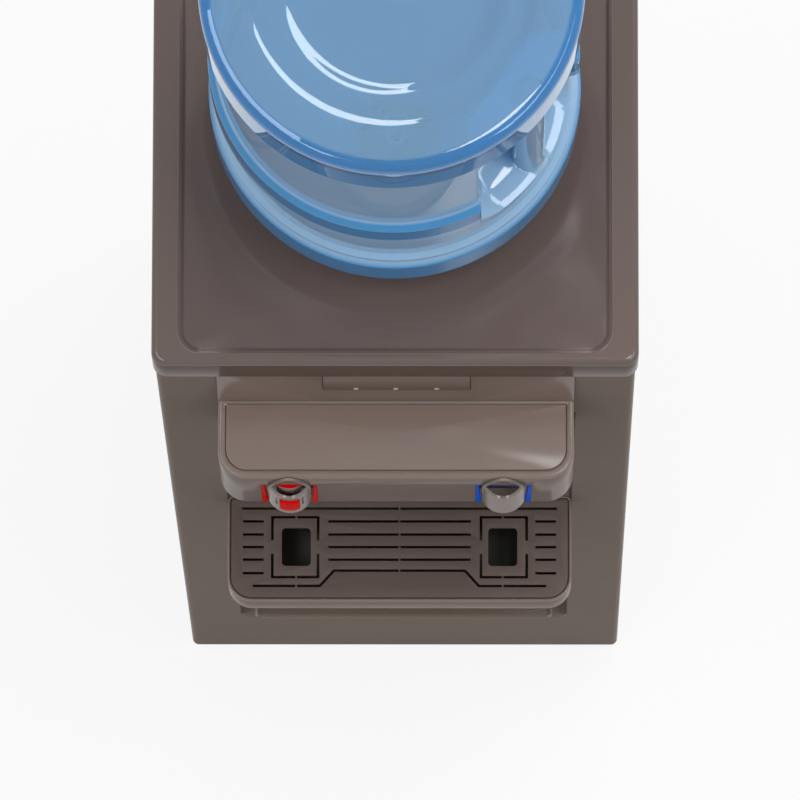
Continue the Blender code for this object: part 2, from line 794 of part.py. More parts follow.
def make_front_panel():
    """Front panel: rounded upright edges, side returns and the long shallow channel."""
    top = LIP_Z - GAP
    side = (-HALF_WIDTH, HALF_WIDTH)
    back = FRONT_Y + PANEL_RETURN
    outline = rounded(side, (FRONT_Y, back), EDGE_RADIUS, 0)
    panel = prism("front_panel", outline, "Z", (BASE_Z, top))
    foot = height(CHANNEL_FOOT)
    face = rounded((-CHANNEL_HALF, CHANNEL_HALF), (foot, top + OVERRUN), CHANNEL_CORNER, 0)
    cut(panel, prism("channel", face, "Y", (FRONT_Y - OVERRUN, CHANNEL_BACK_Y)))
    inner_side = (-HALF_WIDTH + PANEL_WALL, HALF_WIDTH - PANEL_WALL)
    inner_y = (FRONT_Y + PANEL_WALL, back + OVERRUN)
    outline = rounded(inner_side, inner_y, EDGE_RADIUS - PANEL_WALL, 0)
    hollow = prism("hollow", outline, "Z", (BASE_Z - OVERRUN, top + OVERRUN))
    reach = CHANNEL_HALF + PANEL_WALL
    corner_radius = CHANNEL_CORNER + PANEL_WALL
    face = rounded((-reach, reach), (foot - PANEL_WALL, top + 2 * OVERRUN), corner_radius, 0)
    depth = (FRONT_Y - OVERRUN, CHANNEL_BACK_Y + PANEL_WALL)
    cut(hollow, prism("channel_wall", face, "Y", depth))
    cut(panel, hollow)
    for side in (-1, 1):
        place = (side * TAP_OFFSET, CHANNEL_BACK_Y, BARREL_Z)
        span = (-OVERRUN, PANEL_WALL + OVERRUN)
        cut(panel, rod("barrel_hole", BARREL_RADIUS + BARREL_CLEAR, place, span, SMALL_SIDES, "Y"))
    return paint(smooth(panel), "panel_plastic")


def make_side_panel(name, side):
    """Side panel with inward edges at its top, foot and rear."""
    outer = side * HALF_WIDTH
    inner = side * (HALF_WIDTH - PANEL_WALL)
    edge = side * (HALF_WIDTH - PANEL_FLANGE)
    rear_edge = side * (HALF_WIDTH - REAR_FLANGE)
    top = LIP_Z - GAP
    front = FRONT_Y + PANEL_RETURN + GAP
    flange_y = REAR_Y - REAR_WALL - GAP
    panel = block(name, (outer, inner), (front, REAR_Y), (BASE_Z, top))
    overlap = side * (HALF_WIDTH - PANEL_WALL / 2)
    span = (front, flange_y)
    unite(panel, block("top_edge", (overlap, edge), span, (top - PANEL_WALL, top)))
    unite(panel, block("foot_edge", (overlap, edge), span, (BASE_Z, BASE_Z + PANEL_WALL)))
    rear_y = (flange_y - PANEL_WALL, flange_y)
    unite(panel, block("rear_edge", (overlap, rear_edge), rear_y, (BASE_Z, top)))
    return paint(panel, "painted_steel")


def make_base_pan():
    """Open pan under the cabinet, which carries the compressor and the feet."""
    half = HALF_WIDTH - PANEL_WALL - GAP
    front = FRONT_Y + EDGE_RADIUS + GAP
    rear = REAR_Y - REAR_WALL - 2 * GAP - PANEL_WALL
    low = BASE_Z + PANEL_WALL + GAP
    pan = block("base_pan", (-half, half), (front, rear), (low, low + PAN_RIM))
    inner = half - PAN_WALL
    y_range = (front + PAN_WALL, rear - PAN_WALL)
    z_range = (low + PAN_WALL, low + PAN_RIM + OVERRUN)
    cut(pan, block("hollow", (-inner, inner), y_range, z_range))
    return paint(pan, "painted_steel")


def make_feet():
    """Four rubber feet under the base pan."""
    top = BASE_Z + PANEL_WALL
    for side_name, side in (("left", -1), ("right", 1)):
        for end_name, y in (("front", FRONT_Y + FOOT_INSET), ("rear", REAR_Y - FOOT_INSET)):
            place = (side * (HALF_WIDTH - FOOT_INSET), y, 0)
            profile = [
                (0, top),
                (FOOT_RADIUS, top),
                (FOOT_RADIUS, FOOT_TAPER),
                (FOOT_RADIUS - FOOT_TAPER, 0),
                (0, 0),
            ]
            foot = turned(f"foot_{end_name}_{side_name}", profile, place, ROUND_SIDES)
            paint(smooth(foot), "rubber")


def make_rear_panel():
    """Rear panel with its louvres and the openings for what passes through it."""
    half = HALF_WIDTH - PANEL_WALL - GAP
    y_range = (REAR_Y - REAR_WALL, REAR_Y)
    panel = block("rear_panel", (-half, half), y_range, (BASE_Z, LIP_Z - GAP))
    through = (REAR_Y - REAR_WALL - OVERRUN, REAR_Y + OVERRUN)
    louvres = []
    for step in range(LOUVRE_COUNT):
        low = height(LOUVRE_LOW + step * LOUVRE_PITCH)
        z_range = (low, low + LOUVRE_HEIGHT)
        louvres.append(block("louvre", (-LOUVRE_HALF, LOUVRE_HALF), through, z_range))
    for side in (-1, 1):
        half_x = SWITCH_WIDTH / 2 + GAP
        half_z = SWITCH_LENGTH / 2 + GAP
        x_range = (side * SWITCH_OFFSET - half_x, side * SWITCH_OFFSET + half_x)
        middle = SWITCH_Z
        z_range = (middle - half_z, middle + half_z)
        louvres.append(block("switch_opening", x_range, through, z_range))
    holes = [
        (HOT_X, DRAIN_Z, DRAIN_RADIUS + GAP),
        (GLAND_X, GLAND_Z, GLAND_RADIUS + GAP),
        (CONDENSER_X, CONDENSER_TOP_Z, CONDENSER_RADIUS + PIPE_HOLE_CLEAR),
        (-CONDENSER_X, CONDENSER_FOOT_Z, CONDENSER_RADIUS + PIPE_HOLE_CLEAR),
    ]
    for x, z, radius in holes:
        louvres.append(rod("pipe_hole", radius, (x, 0, z), through, ROUND_SIDES, "Y"))
    cut(panel, join("openings", louvres))
    return paint(panel, "painted_steel")


def face_y(level):
    """World Y of the display face, which leans back, at a world height."""
    return FRONT_Y - NOSE_CREASE_REACH * (LIP_Z - level) / NOSE_SHELF_DROP


def nose_solid(name, inset):
    """Solid of the nose, drawn in by an inset, with its rounded plan corners."""
    front = FRONT_Y - NOSE_REACH + inset
    shelf = NOSE_SHELF_Z - inset
    foot = NOSE_FOOT_Z + inset
    top = LIP_Z - GAP - inset
    back = NOSE_BACK_Y if inset == 0 else NOSE_BACK_Y + OVERRUN
    edge = NOSE_EDGE - inset if NOSE_EDGE > inset else 0
    outline = [(front, foot), (front, shelf)]
    if edge > 0:
        outline = [(front, foot)] + arc((front + edge, shelf - edge), edge, 180, 90, 3)
    outline += [
        (FRONT_Y - NOSE_CREASE_REACH + inset, shelf),
        (FRONT_Y + inset, top),
        (back, top),
        (back, foot),
    ]
    half = NOSE_WIDTH / 2 - inset
    solid = prism(name, outline, "X", (-half, half))
    plan = rounded((-half, half), (front, back + OVERRUN), NOSE_CORNER - inset, 0)
    z_range = (foot - OVERRUN, top + OVERRUN)
    return combine(solid, prism("plan", plan, "Z", z_range), "INTERSECT")


def make_nose():
    """Nose housing: open-backed shell with a notch for each tap and the display window."""
    nose = nose_solid("nose_housing", 0)
    cut(nose, nose_solid("hollow", NOSE_WALL))
    front = FRONT_Y - NOSE_REACH
    for side in (-1, 1):
        middle = side * TAP_OFFSET
        x_range = (middle - NOTCH_WIDTH / 2, middle + NOTCH_WIDTH / 2)
        z_range = (NOSE_FOOT_Z - OVERRUN, NOTCH_TOP_Z)
        cut(nose, block("notch", x_range, (front - OVERRUN, front + NOTCH_DEPTH), z_range))
    low = DISPLAY_FOOT_Z - GAP
    high = DISPLAY_TOP_Z + GAP
    y_range = (FRONT_Y - NOSE_CREASE_REACH - OVERRUN, FRONT_Y + NOSE_WALL + OVERRUN)
    x_range = (DISPLAY_LEFT - GAP, DISPLAY_RIGHT + GAP)
    cut(nose, block("window", x_range, y_range, (low, high)))
    return paint(smooth(nose), "nose_plastic")


def make_top_plate():
    """Thin plate on the shelf of the nose."""
    low = NOSE_SHELF_Z + GAP
    y_range = (FRONT_Y - TOP_PLATE_REACH, FRONT_Y - TOP_PLATE_BACK)
    plan = rounded((-TOP_PLATE_HALF, TOP_PLATE_HALF), y_range, PLATE_CORNER, 0)
    plate = prism("nose_top_plate", plan, "Z", (low, low + TOP_PLATE_HEIGHT))
    return paint(smooth(plate), "nose_plastic")


def make_display():
    """Display window, and the board behind it with its three light pipes."""
    low = DISPLAY_FOOT_Z
    high = DISPLAY_TOP_Z
    outline = []
    for level, depth in (
        (low, -DISPLAY_PROUD),
        (high, -DISPLAY_PROUD),
        (high, DISPLAY_DEPTH),
        (low, DISPLAY_DEPTH),
    ):
        outline.append((face_y(level) + depth, level))
    window = prism("display_window", outline, "X", (DISPLAY_LEFT, DISPLAY_RIGHT))
    back = face_y(high) + DISPLAY_DEPTH + BOARD_CLEAR
    lens_z = low + LENS_RISE
    face = face_y(lens_z)
    x_range = (DISPLAY_LEFT + BOARD_MARGIN, DISPLAY_RIGHT - BOARD_MARGIN)
    z_range = (low, low + BOARD_HEIGHT)
    board = block("indicator_board", x_range, (back, back + BOARD_DEPTH), z_range)
    for x in LENS_PLACES:
        place = (x, face, lens_z)
        span = (-DISPLAY_PROUD - GAP, back - face + BOARD_DEPTH / 2)
        through = (-DISPLAY_PROUD - OVERRUN, DISPLAY_DEPTH + OVERRUN)
        unite(board, rod("light_pipe", LENS_RADIUS, place, span, PIN_SIDES, "Y"))
        cut(window, rod("lens_hole", LENS_RADIUS + GAP, place, through, PIN_SIDES, "Y"))
    paint(window, "nose_plastic")
    paint(board, "circuit_board")


def make_tap(label, side, colour):
    """Trim, well, body, nut and stem of one tap."""
    middle = side * TAP_OFFSET
    front = FRONT_Y - NOSE_REACH
    foot = NOSE_FOOT_Z
    top = NOTCH_TOP_Z - GAP
    half = NOTCH_WIDTH / 2 - GAP

    x_range = (middle - half, middle + half)
    trim = block(f"{label}_tap_trim", x_range, (front, front + TRIM_DEPTH), (foot, top))
    x_range = (middle - half + TRIM_LEG, middle + half - TRIM_LEG)
    y_range = (front - OVERRUN, front + TRIM_DEPTH + OVERRUN)
    cut(trim, block("opening", x_range, y_range, (foot - OVERRUN, top - TRIM_LEG / 2)))
    paint(trim, colour)

    back = front + NOTCH_DEPTH - GAP
    x_range = (middle - half, middle + half)
    well_front = front + TRIM_DEPTH + GAP
    well = block(f"{label}_tap_well", x_range, (well_front, back), (foot, top))
    x_range = (middle - half + WELL_WALL, middle + half - WELL_WALL)
    y_range = (well_front - OVERRUN, back - WELL_BACK)
    cut(well, block("hollow", x_range, y_range, (foot - OVERRUN, top - WELL_WALL)))
    barrel_place = (middle, 0, BARREL_Z)
    span = (back - WELL_BACK - OVERRUN, back + OVERRUN)
    cut(well, rod("barrel_hole", BARREL_RADIUS + GAP, barrel_place, span, ROUND_SIDES, "Y"))
    pivot = (middle, PIVOT_Y, PIVOT_Z)
    span = (-half - OVERRUN, half + OVERRUN)
    cut(well, rod("pin_hole", PIN_RADIUS + GAP, pivot, span, SMALL_SIDES, "X"))
    paint(well, "black_plastic")

    axis = (middle, VALVE_Y, 0)
    body_span = (VALVE_FOOT_Z, VALVE_TOP_Z)
    body = rod(f"{label}_tap_body", VALVE_RADIUS, axis, body_span, ROUND_SIDES)
    spout_span = (SPOUT_END_Z, VALVE_FOOT_Z + VALVE_WALL / 2)
    barrel_span = (VALVE_Y, behind(BARREL_END))
    flange_end = back - WELL_BACK - GAP
    flange_span = (flange_end - BARREL_FLANGE_LENGTH, flange_end)
    flange_radius = BARREL_RADIUS + BARREL_FLANGE
    unite(
        body,
        rod("spout", SPOUT_RADIUS, axis, spout_span, ROUND_SIDES),
        rod("barrel", BARREL_RADIUS, barrel_place, barrel_span, ROUND_SIDES, "Y"),
        rod("flange", flange_radius, barrel_place, flange_span, ROUND_SIDES, "Y"),
    )
    chamber_radius = VALVE_RADIUS - VALVE_WALL
    seat = VALVE_FOOT_Z + VALVE_WALL
    ceiling = VALVE_TOP_Z - VALVE_WALL
    chamber = [
        (0, SPOUT_END_Z - OVERRUN),
        (SPOUT_BORE, SPOUT_END_Z - OVERRUN),
        (SPOUT_BORE, seat),
        (chamber_radius, seat),
        (chamber_radius, ceiling),
        (STEM_RADIUS + 2 * GAP, ceiling),
        (STEM_RADIUS + 2 * GAP, VALVE_TOP_Z + OVERRUN),
        (0, VALVE_TOP_Z + OVERRUN),
    ]
    cut(body, turned("chamber", chamber, axis, ROUND_SIDES))
    bore_span = (VALVE_Y, behind(BARREL_END) + OVERRUN)
    cut(body, rod("bore", BARREL_BORE, barrel_place, bore_span, SMALL_SIDES, "Y"))
    paint(smooth(body), "black_plastic")

    nut_span = (back + GAP, back + GAP + NUT_LENGTH)
    nut = rod(f"{label}_tap_nut", NUT_RADIUS, barrel_place, nut_span, 6, "Y")
    nut_bore_span = (back - OVERRUN, back + NUT_LENGTH + OVERRUN)
    cut(nut, rod("nut_bore", BARREL_RADIUS + GAP, barrel_place, nut_bore_span, ROUND_SIDES, "Y"))
    paint(nut, "white_plastic")

    head = YOKE_Z + YOKE_HEIGHT + GAP - seat
    profile = [
        (0, GAP),
        (STEM_DISC_RADIUS, GAP),
        (STEM_DISC_RADIUS, GAP + STEM_DISC_HEIGHT),
        (STEM_RADIUS, GAP + STEM_DISC_HEIGHT),
        (STEM_RADIUS, head),
        (STEM_HEAD_RADIUS, head),
        (STEM_HEAD_RADIUS, head + STEM_HEAD_HEIGHT),
        (0, head + STEM_HEAD_HEIGHT),
    ]
    stem = turned(f"{label}_valve_stem", profile, (0, 0, 0), SMALL_SIDES)
    stem.location = (middle, VALVE_Y, seat)
    paint(smooth(stem), "white_plastic")


def bulge_y(x, half, rise):
    """How far an arc of a given half chord and rise stands out at a place across it."""
    radius = (half ** 2 + rise ** 2) / (2 * rise)
    return math.sqrt(radius ** 2 - x ** 2) - (radius - rise)


def spread(half, steps):
    """Evenly spaced places from one side to the other."""
    return [half * (2 * step / steps - 1) for step in range(steps + 1)]


def make_lever(label, side):
    """Push lever: curved tongue, arched upper rim, ears with pivot pins, and the stem's yoke."""
    middle = side * TAP_OFFSET
    half = LEVER_WIDTH / 2
    inner = half - LEVER_WALL
    back = LEVER_BACK_Y
    tip = NOTCH_TOP_Z + LEVER_TIP_RISE
    foot = NOSE_FOOT_Z - LEVER_DROP
    steps = 10
    plan = [(x, back - bulge_y(x, half, LEVER_BULGE)) for x in spread(half, steps)]
    inner_rise = LEVER_BULGE - LEVER_WALL
    plan += [(-x, back - bulge_y(x, inner, inner_rise)) for x in spread(inner, steps)]
    lever = prism(f"{label}_lever", plan, "Z", (foot, tip))
    depth = (back - LEVER_BULGE - OVERRUN, back + OVERRUN)
    face = rounded((-half - GAP, half + GAP), (foot, tip + OVERRUN), LEVER_FOOT_CORNER, 0, 5)
    combine(lever, prism("tongue", face, "Y", depth), "INTERSECT")
    scoop = [(x, tip - LEVER_DIP * (1 - (x / half) ** 2)) for x in spread(half, steps)]
    scoop = [(-half, tip + OVERRUN)] + scoop + [(half, tip + OVERRUN)]
    cut(lever, prism("rim", scoop, "Y", (depth[0], back - LEVER_WALL)))
    rise = LEVER_ARCH_RISE
    arch = [(x, tip + rise * (1 - (x / half) ** 2)) for x in spread(half, steps)]
    arch += [(half, tip - LEVER_WALL), (inner, tip - LEVER_WALL)]
    low_rise = rise - LEVER_WALL
    arch += [(-x, tip + low_rise * (1 - (x / inner) ** 2)) for x in spread(inner, steps)]
    arch += [(-inner, tip - LEVER_WALL), (-half, tip - LEVER_WALL)]
    arch_y = (back - LEVER_WALL * ARCH_SHARE, back)
    unite(lever, prism("arch", arch, "Y", arch_y))
    pivot = (0, PIVOT_Y, PIVOT_Z)
    for end in (-1, 1):
        ear = [(back - LEVER_WALL * EAR_ROOT_SHARE, pivot[2] - EAR_RADIUS)]
        ear += arc((PIVOT_Y, pivot[2]), EAR_RADIUS, -90, 90, 6)
        ear += [(back - LEVER_WALL * EAR_ROOT_SHARE, pivot[2] + EAR_RADIUS)]
        unite(lever, prism("ear", ear, "X", (end * inner, end * half)))
    yoke_x = half - LEVER_WALL / 2
    yoke_y = (PIVOT_Y + PIN_RADIUS + 3 * PIN_CLEAR, PIVOT_Y + YOKE_BACK)
    yoke_z = (YOKE_Z, YOKE_Z + YOKE_HEIGHT)
    yoke = block("yoke", (-yoke_x, yoke_x), yoke_y, yoke_z)
    slot_y = (VALVE_Y - YOKE_SLOT / 2, PIVOT_Y + YOKE_BACK + OVERRUN)
    slot_z = (yoke_z[0] - OVERRUN, yoke_z[1] + OVERRUN)
    cut(yoke, block("slot", (-YOKE_SLOT / 2, YOKE_SLOT / 2), slot_y, slot_z))
    unite(lever, yoke)
    pin_end = NOTCH_WIDTH / 2 - 2 * GAP
    for end in (-1, 1):
        span = tuple(sorted((end * (half - LEVER_WALL / 2), end * pin_end)))
        unite(lever, rod("pin", PIN_RADIUS, pivot, span, SMALL_SIDES, "X"))
    if label == "hot":
        reach = BUTTON_WIDTH / 2 + GAP
        z_range = (BUTTON_FOOT_Z - GAP, BUTTON_TOP_Z + GAP)
        y_range = (depth[0], back - GAP)
        cut(lever, block("button_window", (-reach, reach), y_range, z_range))
    set_origin(lever, pivot)
    lever.location.x = middle
    return paint(smooth(lever), "nose_plastic")


def make_safety_button():
    """Red safety button in the hot lever, and the guide that it slides into."""
    middle = -TAP_OFFSET
    half = LEVER_WIDTH / 2
    inner = half - LEVER_WALL
    inner_rise = LEVER_BULGE - LEVER_WALL
    back = LEVER_BACK_Y
    reach = BUTTON_WIDTH / 2
    plan = []
    for x in spread(reach, 6):
        plan.append((x, back - bulge_y(x, half, LEVER_BULGE) - BUTTON_PROUD))
    for x in spread(reach, 6):
        plan.append((-x, back - bulge_y(x, inner, inner_rise)))
    button = prism("hot_safety_button", plan, "Z", (BUTTON_FOOT_Z, BUTTON_TOP_Z))
    stud_z = (BUTTON_FOOT_Z + BUTTON_TOP_Z) / 2
    stud_y = back - inner_rise
    span = (-LEVER_WALL, BUTTON_STUD_LENGTH)
    unite(button, rod("stud", BUTTON_STUD_RADIUS, (0, stud_y, stud_z), span, PIN_SIDES, "Y"))
    set_origin(button, (0, back, stud_z))
    button.location.x = middle
    paint(smooth(button), "red_plastic")

    guide_front = back - bulge_y(GUIDE_HALF, inner, inner_rise) + GAP
    outline = [(GUIDE_HALF, guide_front)]
    for step in range(1, 8):
        angle = math.pi * step / 8
        across = GUIDE_HALF * math.cos(angle)
        outline.append((across, guide_front + GUIDE_DEPTH * math.sin(angle)))
    outline.append((-GUIDE_HALF, guide_front))
    z_range = (BUTTON_FOOT_Z - 3 * GAP, BUTTON_TOP_Z + GUIDE_ABOVE)
    guide = prism("hot_button_guide", outline, "Z", z_range)
    edge = back - bulge_y(reach, inner, inner_rise)
    pocket_x = (-reach - GAP, reach + GAP)
    pocket_y = (guide_front - OVERRUN, edge + BUTTON_TRAVEL + GAP)
    pocket_z = (BUTTON_FOOT_Z - OVERRUN, BUTTON_TOP_Z + GAP)
    cut(guide, block("pocket", pocket_x, pocket_y, pocket_z))
    bore = BUTTON_STUD_RADIUS + BUTTON_STUD_CLEAR
    span = (-OVERRUN, GUIDE_DEPTH + OVERRUN)
    cut(guide, rod("stud_bore", bore, (0, guide_front, stud_z), span, PIN_SIDES, "Y"))
    set_origin(guide, (0, guide_front, stud_z))
    guide.location.x = middle
    paint(smooth(guide), "grey_plastic")


def make_tray():
    """Drip tray: open basin with a seat for the grid."""
    front = FRONT_Y - TRAY_REACH
    back = FRONT_Y - TRAY_BACK
    top = TRAY_TOP_Z
    foot = top - TRAY_HEIGHT
    seat = top - GRID_HEIGHT - GAP

    def ring(inset, level):
        x_range = (-TRAY_HALF + inset, TRAY_HALF - inset)
        y_range = (front + inset, back - inset)
        near = TRAY_CORNER - inset
        far = max(TRAY_REAR_CORNER - inset, TRAY_REAR_CORNER * TRAY_CORNER_SHARE)
        return [(x, y, level) for x, y in rounded(x_range, y_range, near, far, 5)]

    basin = TRAY_RIM + TRAY_LEDGE
    rings = [
        ring(TRAY_WALL, foot),
        ring(0, foot + TRAY_WALL),
        ring(0, top),
        ring(TRAY_RIM, top),
        ring(TRAY_RIM, seat),
        ring(basin, seat),
        ring(basin + TRAY_WALL, foot + TRAY_WALL),
    ]
    tray = loft("drip_tray", rings)
    paint(smooth(tray), "nose_plastic")


def slot(x_range, reach):
    """Cutter for one straight slot of the grid."""
    top = TRAY_TOP_Z
    y_range = (FRONT_Y - reach - SLOT_WIDTH / 2, FRONT_Y - reach + SLOT_WIDTH / 2)
    return block("slot", x_range, y_range, (top - GRID_HEIGHT - OVERRUN, top + OVERRUN))


def plate_cut(outline):
    """Cutter through the grid with an outline in X and reach from the front plane."""
    top = TRAY_TOP_Z
    points = [(x, FRONT_Y - reach) for x, reach in outline]
    return prism("slot", points, "Z", (top - GRID_HEIGHT - OVERRUN, top + OVERRUN))


def half_slots(side):
    """Cutters for the slots on one side of the grid's middle."""
    def span(near, far):
        return tuple(sorted((side * near, side * far)))

    bridge = SLOT_BRIDGE / 2
    cutters = [slot(span(bridge, SLOT_BACK_HALF), SLOT_BACK_REACH)]
    for reach in SLOT_ROWS:
        cutters.append(slot(span(bridge, SLOT_CENTRE_HALF), reach))
    for reach in (*SLOT_ROWS, SLOT_SIDE_ROW):
        cutters.append(slot(span(SLOT_SIDE_INNER, SLOT_SIDE_OUTER), reach))
    middle = (HOLE_INNER + HOLE_OUTER) / 2
    width = SLOT_WIDTH / 2
    path = [
        (bridge, KINK_NEAR_REACH),
        (KINK_HALF, KINK_NEAR_REACH),
        (KINK_OUT, KINK_FAR_REACH),
        (middle - bridge, KINK_FAR_REACH),
    ]
    outline = [(side * x, reach - width) for x, reach in path]
    outline += [(side * x, reach + width) for x, reach in reversed(path)]
    cutters.append(plate_cut(outline))
    cutters.append(slot(span(middle + bridge, KINK_END), KINK_FAR_REACH))
    halfway = (BRACKET_BACK + BRACKET_FRONT) / 2
    for x, inward in ((BRACKET_INNER, 1), (BRACKET_OUTER, -1)):
        for reach, turn in ((BRACKET_BACK, 1), (BRACKET_FRONT, -1)):
            end_x = middle - inward * bridge
            end_reach = halfway - turn * BRACKET_BREAK / 2
            outer_x = x - inward * width
            inner_x = x + inward * width
            outer_reach = reach - turn * width
            inner_reach = reach + turn * width
            outline = [
                (end_x, outer_reach),
                (outer_x, outer_reach),
                (outer_x, end_reach),
                (inner_x, end_reach),
                (inner_x, inner_reach),
                (end_x, inner_reach),
            ]
            cutters.append(plate_cut([(side * across, along) for across, along in outline]))
    hole = rounded(span(HOLE_INNER, HOLE_OUTER), (HOLE_BACK, HOLE_FRONT), HOLE_CORNER, HOLE_CORNER, 3)
    cutters.append(plate_cut(hole))
    return cutters


def make_grid():
    """Slotted grid that drops into the tray."""
    inset = TRAY_RIM + GRID_CLEAR
    x_range = (-TRAY_HALF + inset, TRAY_HALF - inset)
    y_range = (FRONT_Y - TRAY_REACH + inset, FRONT_Y - TRAY_BACK - inset)
    near = TRAY_CORNER - inset
    far = TRAY_REAR_CORNER - inset
    plan = rounded(x_range, y_range, near, far, 5)
    top = TRAY_TOP_Z
    grid = prism("drip_grid", plan, "Z", (top - GRID_HEIGHT, top))
    cut(grid, join("slots", half_slots(-1) + half_slots(1)))
    paint(grid, "dark_grid_plastic")


def make_holder():
    """Holder that carries the tray, fixed on the back of the channel."""
    foot = TRAY_TOP_Z - TRAY_HEIGHT
    back = CHANNEL_BACK_Y - GAP
    x_range = (-HOLDER_HALF, HOLDER_HALF)
    z_range = (foot - GAP - HOLDER_WALL, foot + HOLDER_RISE)
    holder = block("tray_holder", x_range, (back - HOLDER_WALL, back), z_range)
    y_range = (FRONT_Y - HOLDER_REACH, back - HOLDER_WALL / 2)
    shelf_z = (foot - GAP - HOLDER_WALL, foot - GAP)
    unite(holder, block("arm", x_range, y_range, shelf_z))
    paint(holder, "panel_plastic")


def cone(radius):
    """Height of the bottle's cone above the cover's top, at a radius."""
    turn = math.radians(SHOULDER_DEGREES)
    end_radius = BAND_RADIUS - SHOULDER_RADIUS * (1 - math.cos(turn))
    end_height = BAND_LOW - SHOULDER_RADIUS * math.sin(turn)
    return end_height - (end_radius - radius) / math.tan(turn)


def inset(profile, wall):
    """Move an outline's points inwards by a wall, square to its two lines at each point."""
    moved = []
    for index, (radius, level) in enumerate(profile):
        shift = Vector((0, 0))
        ends = [pair for pair in ((index - 1, index), (index, index + 1)) if pair[0] >= 0]
        lines = [pair for pair in ends if pair[1] < len(profile)]
        for start, end in lines:
            run = Vector(profile[end]) - Vector(profile[start])
            shift += Vector((run.y, -run.x)).normalized()
        shift /= len(lines)
        shift *= wall / max(shift.length_squared, CORNER_LEAST_SHARE)
        moved.append((max(radius + shift.x, 0), level + shift.y))
    return moved


def grip_tool(name, swell):
    """Cutter of the bottle's grip pocket, swollen by a wall."""
    half = GRIP_WIDTH / 2 + swell
    face = rounded(
        (-half, half),
        (TOP_Z + GRIP_LOW - swell, TOP_Z + GRIP_HIGH + swell),
        GRIP_CORNER + swell,
        GRIP_CORNER + swell,
        3,
    )
    reach = (WALL_RADIUS - GRIP_DEPTH - swell, BAND_RADIUS + 2 * OVERRUN)
    tool = prism(name, face, "Y", reach)
    turn = math.radians(GRIP_AZIMUTH) - math.pi
    place_on_bottle(tool, turn)
    return tool


def place_on_bottle(item, turn):
    """Turn a shape about the bottle's axis, and carry it there."""
    for point in item.data.vertices:
        x, y, z = point.co
        point.co = (
            x * math.cos(turn) - y * math.sin(turn),
            AXIS_Y + x * math.sin(turn) + y * math.cos(turn),
            z,
        )


def make_bottle():
    """Five-gallon bottle, neck down: ringed wall, domed shoulder and side grip."""
    turn = math.radians(SHOULDER_DEGREES)
    profile = [
        (0, BOTTLE_TOP - BASE_CUP_DEPTH),
        (BASE_CUP_RADIUS, BOTTLE_TOP - BASE_CUP_DEPTH),
        (BASE_CUP_RADIUS + RING_EASE, BOTTLE_TOP - BASE_STEP_DEPTH),
        (BASE_STEP_RADIUS, BOTTLE_TOP - BASE_STEP_DEPTH),
        (BASE_STEP_RADIUS + BASE_STEP_DEPTH, BOTTLE_TOP),
        (BOTTLE_BASE_RADIUS - BOTTLE_BASE_FILLET, BOTTLE_TOP),
        (BOTTLE_BASE_RADIUS, BOTTLE_TOP - BOTTLE_BASE_FILLET / 2),
        (RING_A_RADIUS, RING_A_HIGH),
        (RING_A_RADIUS, RING_A_LOW),
        (WALL_RADIUS, RING_A_LOW - RING_EASE),
        (WALL_RADIUS, RING_B_HIGH + RING_EASE),
        (RING_B_RADIUS, RING_B_HIGH),
        (RING_B_RADIUS, RING_B_LOW),
        (WALL_RADIUS, RING_B_LOW - RING_EASE),
        (WALL_RADIUS, RIB_HEIGHT + 2 * RIB_GROOVE),
        (RIB_RADIUS, RIB_HEIGHT + RIB_GROOVE),
        (RIB_RADIUS, RIB_HEIGHT),
        (WALL_RADIUS, RIB_HEIGHT - RIB_GROOVE),
        (BAND_RADIUS, BAND_HIGH),
    ]
    for step in range(5):
        angle = turn * step / 4
        radius = BAND_RADIUS - SHOULDER_RADIUS * (1 - math.cos(angle))
        profile.append((radius, BAND_LOW - SHOULDER_RADIUS * math.sin(angle)))
    throat = NECK_RADIUS + NECK_EASE
    profile += [
        (throat, cone(throat)),
        (NECK_RADIUS, cone(throat) - NECK_EASE),
        (NECK_RADIUS, -NECK_END),
        (0, -NECK_END),
    ]
    place = (0, AXIS_Y, TOP_Z)
    bottle = turned("bottle", profile, place, BOTTLE_SIDES)
    cut(bottle, grip_tool("grip", 0))

    below = -NECK_END - OVERRUN
    cavity_profile = inset(profile[:-2], BOTTLE_WALL)
    cavity_profile += [(NECK_RADIUS - BOTTLE_WALL, below), (0, below)]
    cavity = turned("cavity", cavity_profile, place, BOTTLE_SIDES)
    cut(cavity, grip_tool("grip_wall", BOTTLE_WALL))
    cut(bottle, cavity)
    overlap = BOTTLE_WALL / 2
    bar_span = (TOP_Z + GRIP_LOW - overlap, TOP_Z + GRIP_HIGH + overlap)
    bar_place = (0, WALL_RADIUS - GRIP_BAR_RADIUS, 0)
    bar = rod("grip_bar", GRIP_BAR_RADIUS, bar_place, bar_span, PIN_SIDES)
    place_on_bottle(bar, math.radians(GRIP_AZIMUTH) - math.pi)
    unite(bottle, bar)
    set_origin(bottle, place)
    paint(smooth(bottle), "bottle_plastic")

    low = -NECK_END - GAP - CAP_WALL
    inner = NECK_RADIUS + GAP
    profile = [
        (CAP_HOLE_RADIUS, low),
        (inner + CAP_WALL, low),
        (inner + CAP_WALL, low + CAP_HEIGHT),
        (inner, low + CAP_HEIGHT),
        (inner, low + CAP_WALL),
        (CAP_HOLE_RADIUS, low + CAP_WALL),
    ]
    cap = turned("bottle_cap", profile, place, BOTTLE_SIDES, closed=True)
    set_origin(cap, place)
    paint(smooth(cap), "white_plastic")


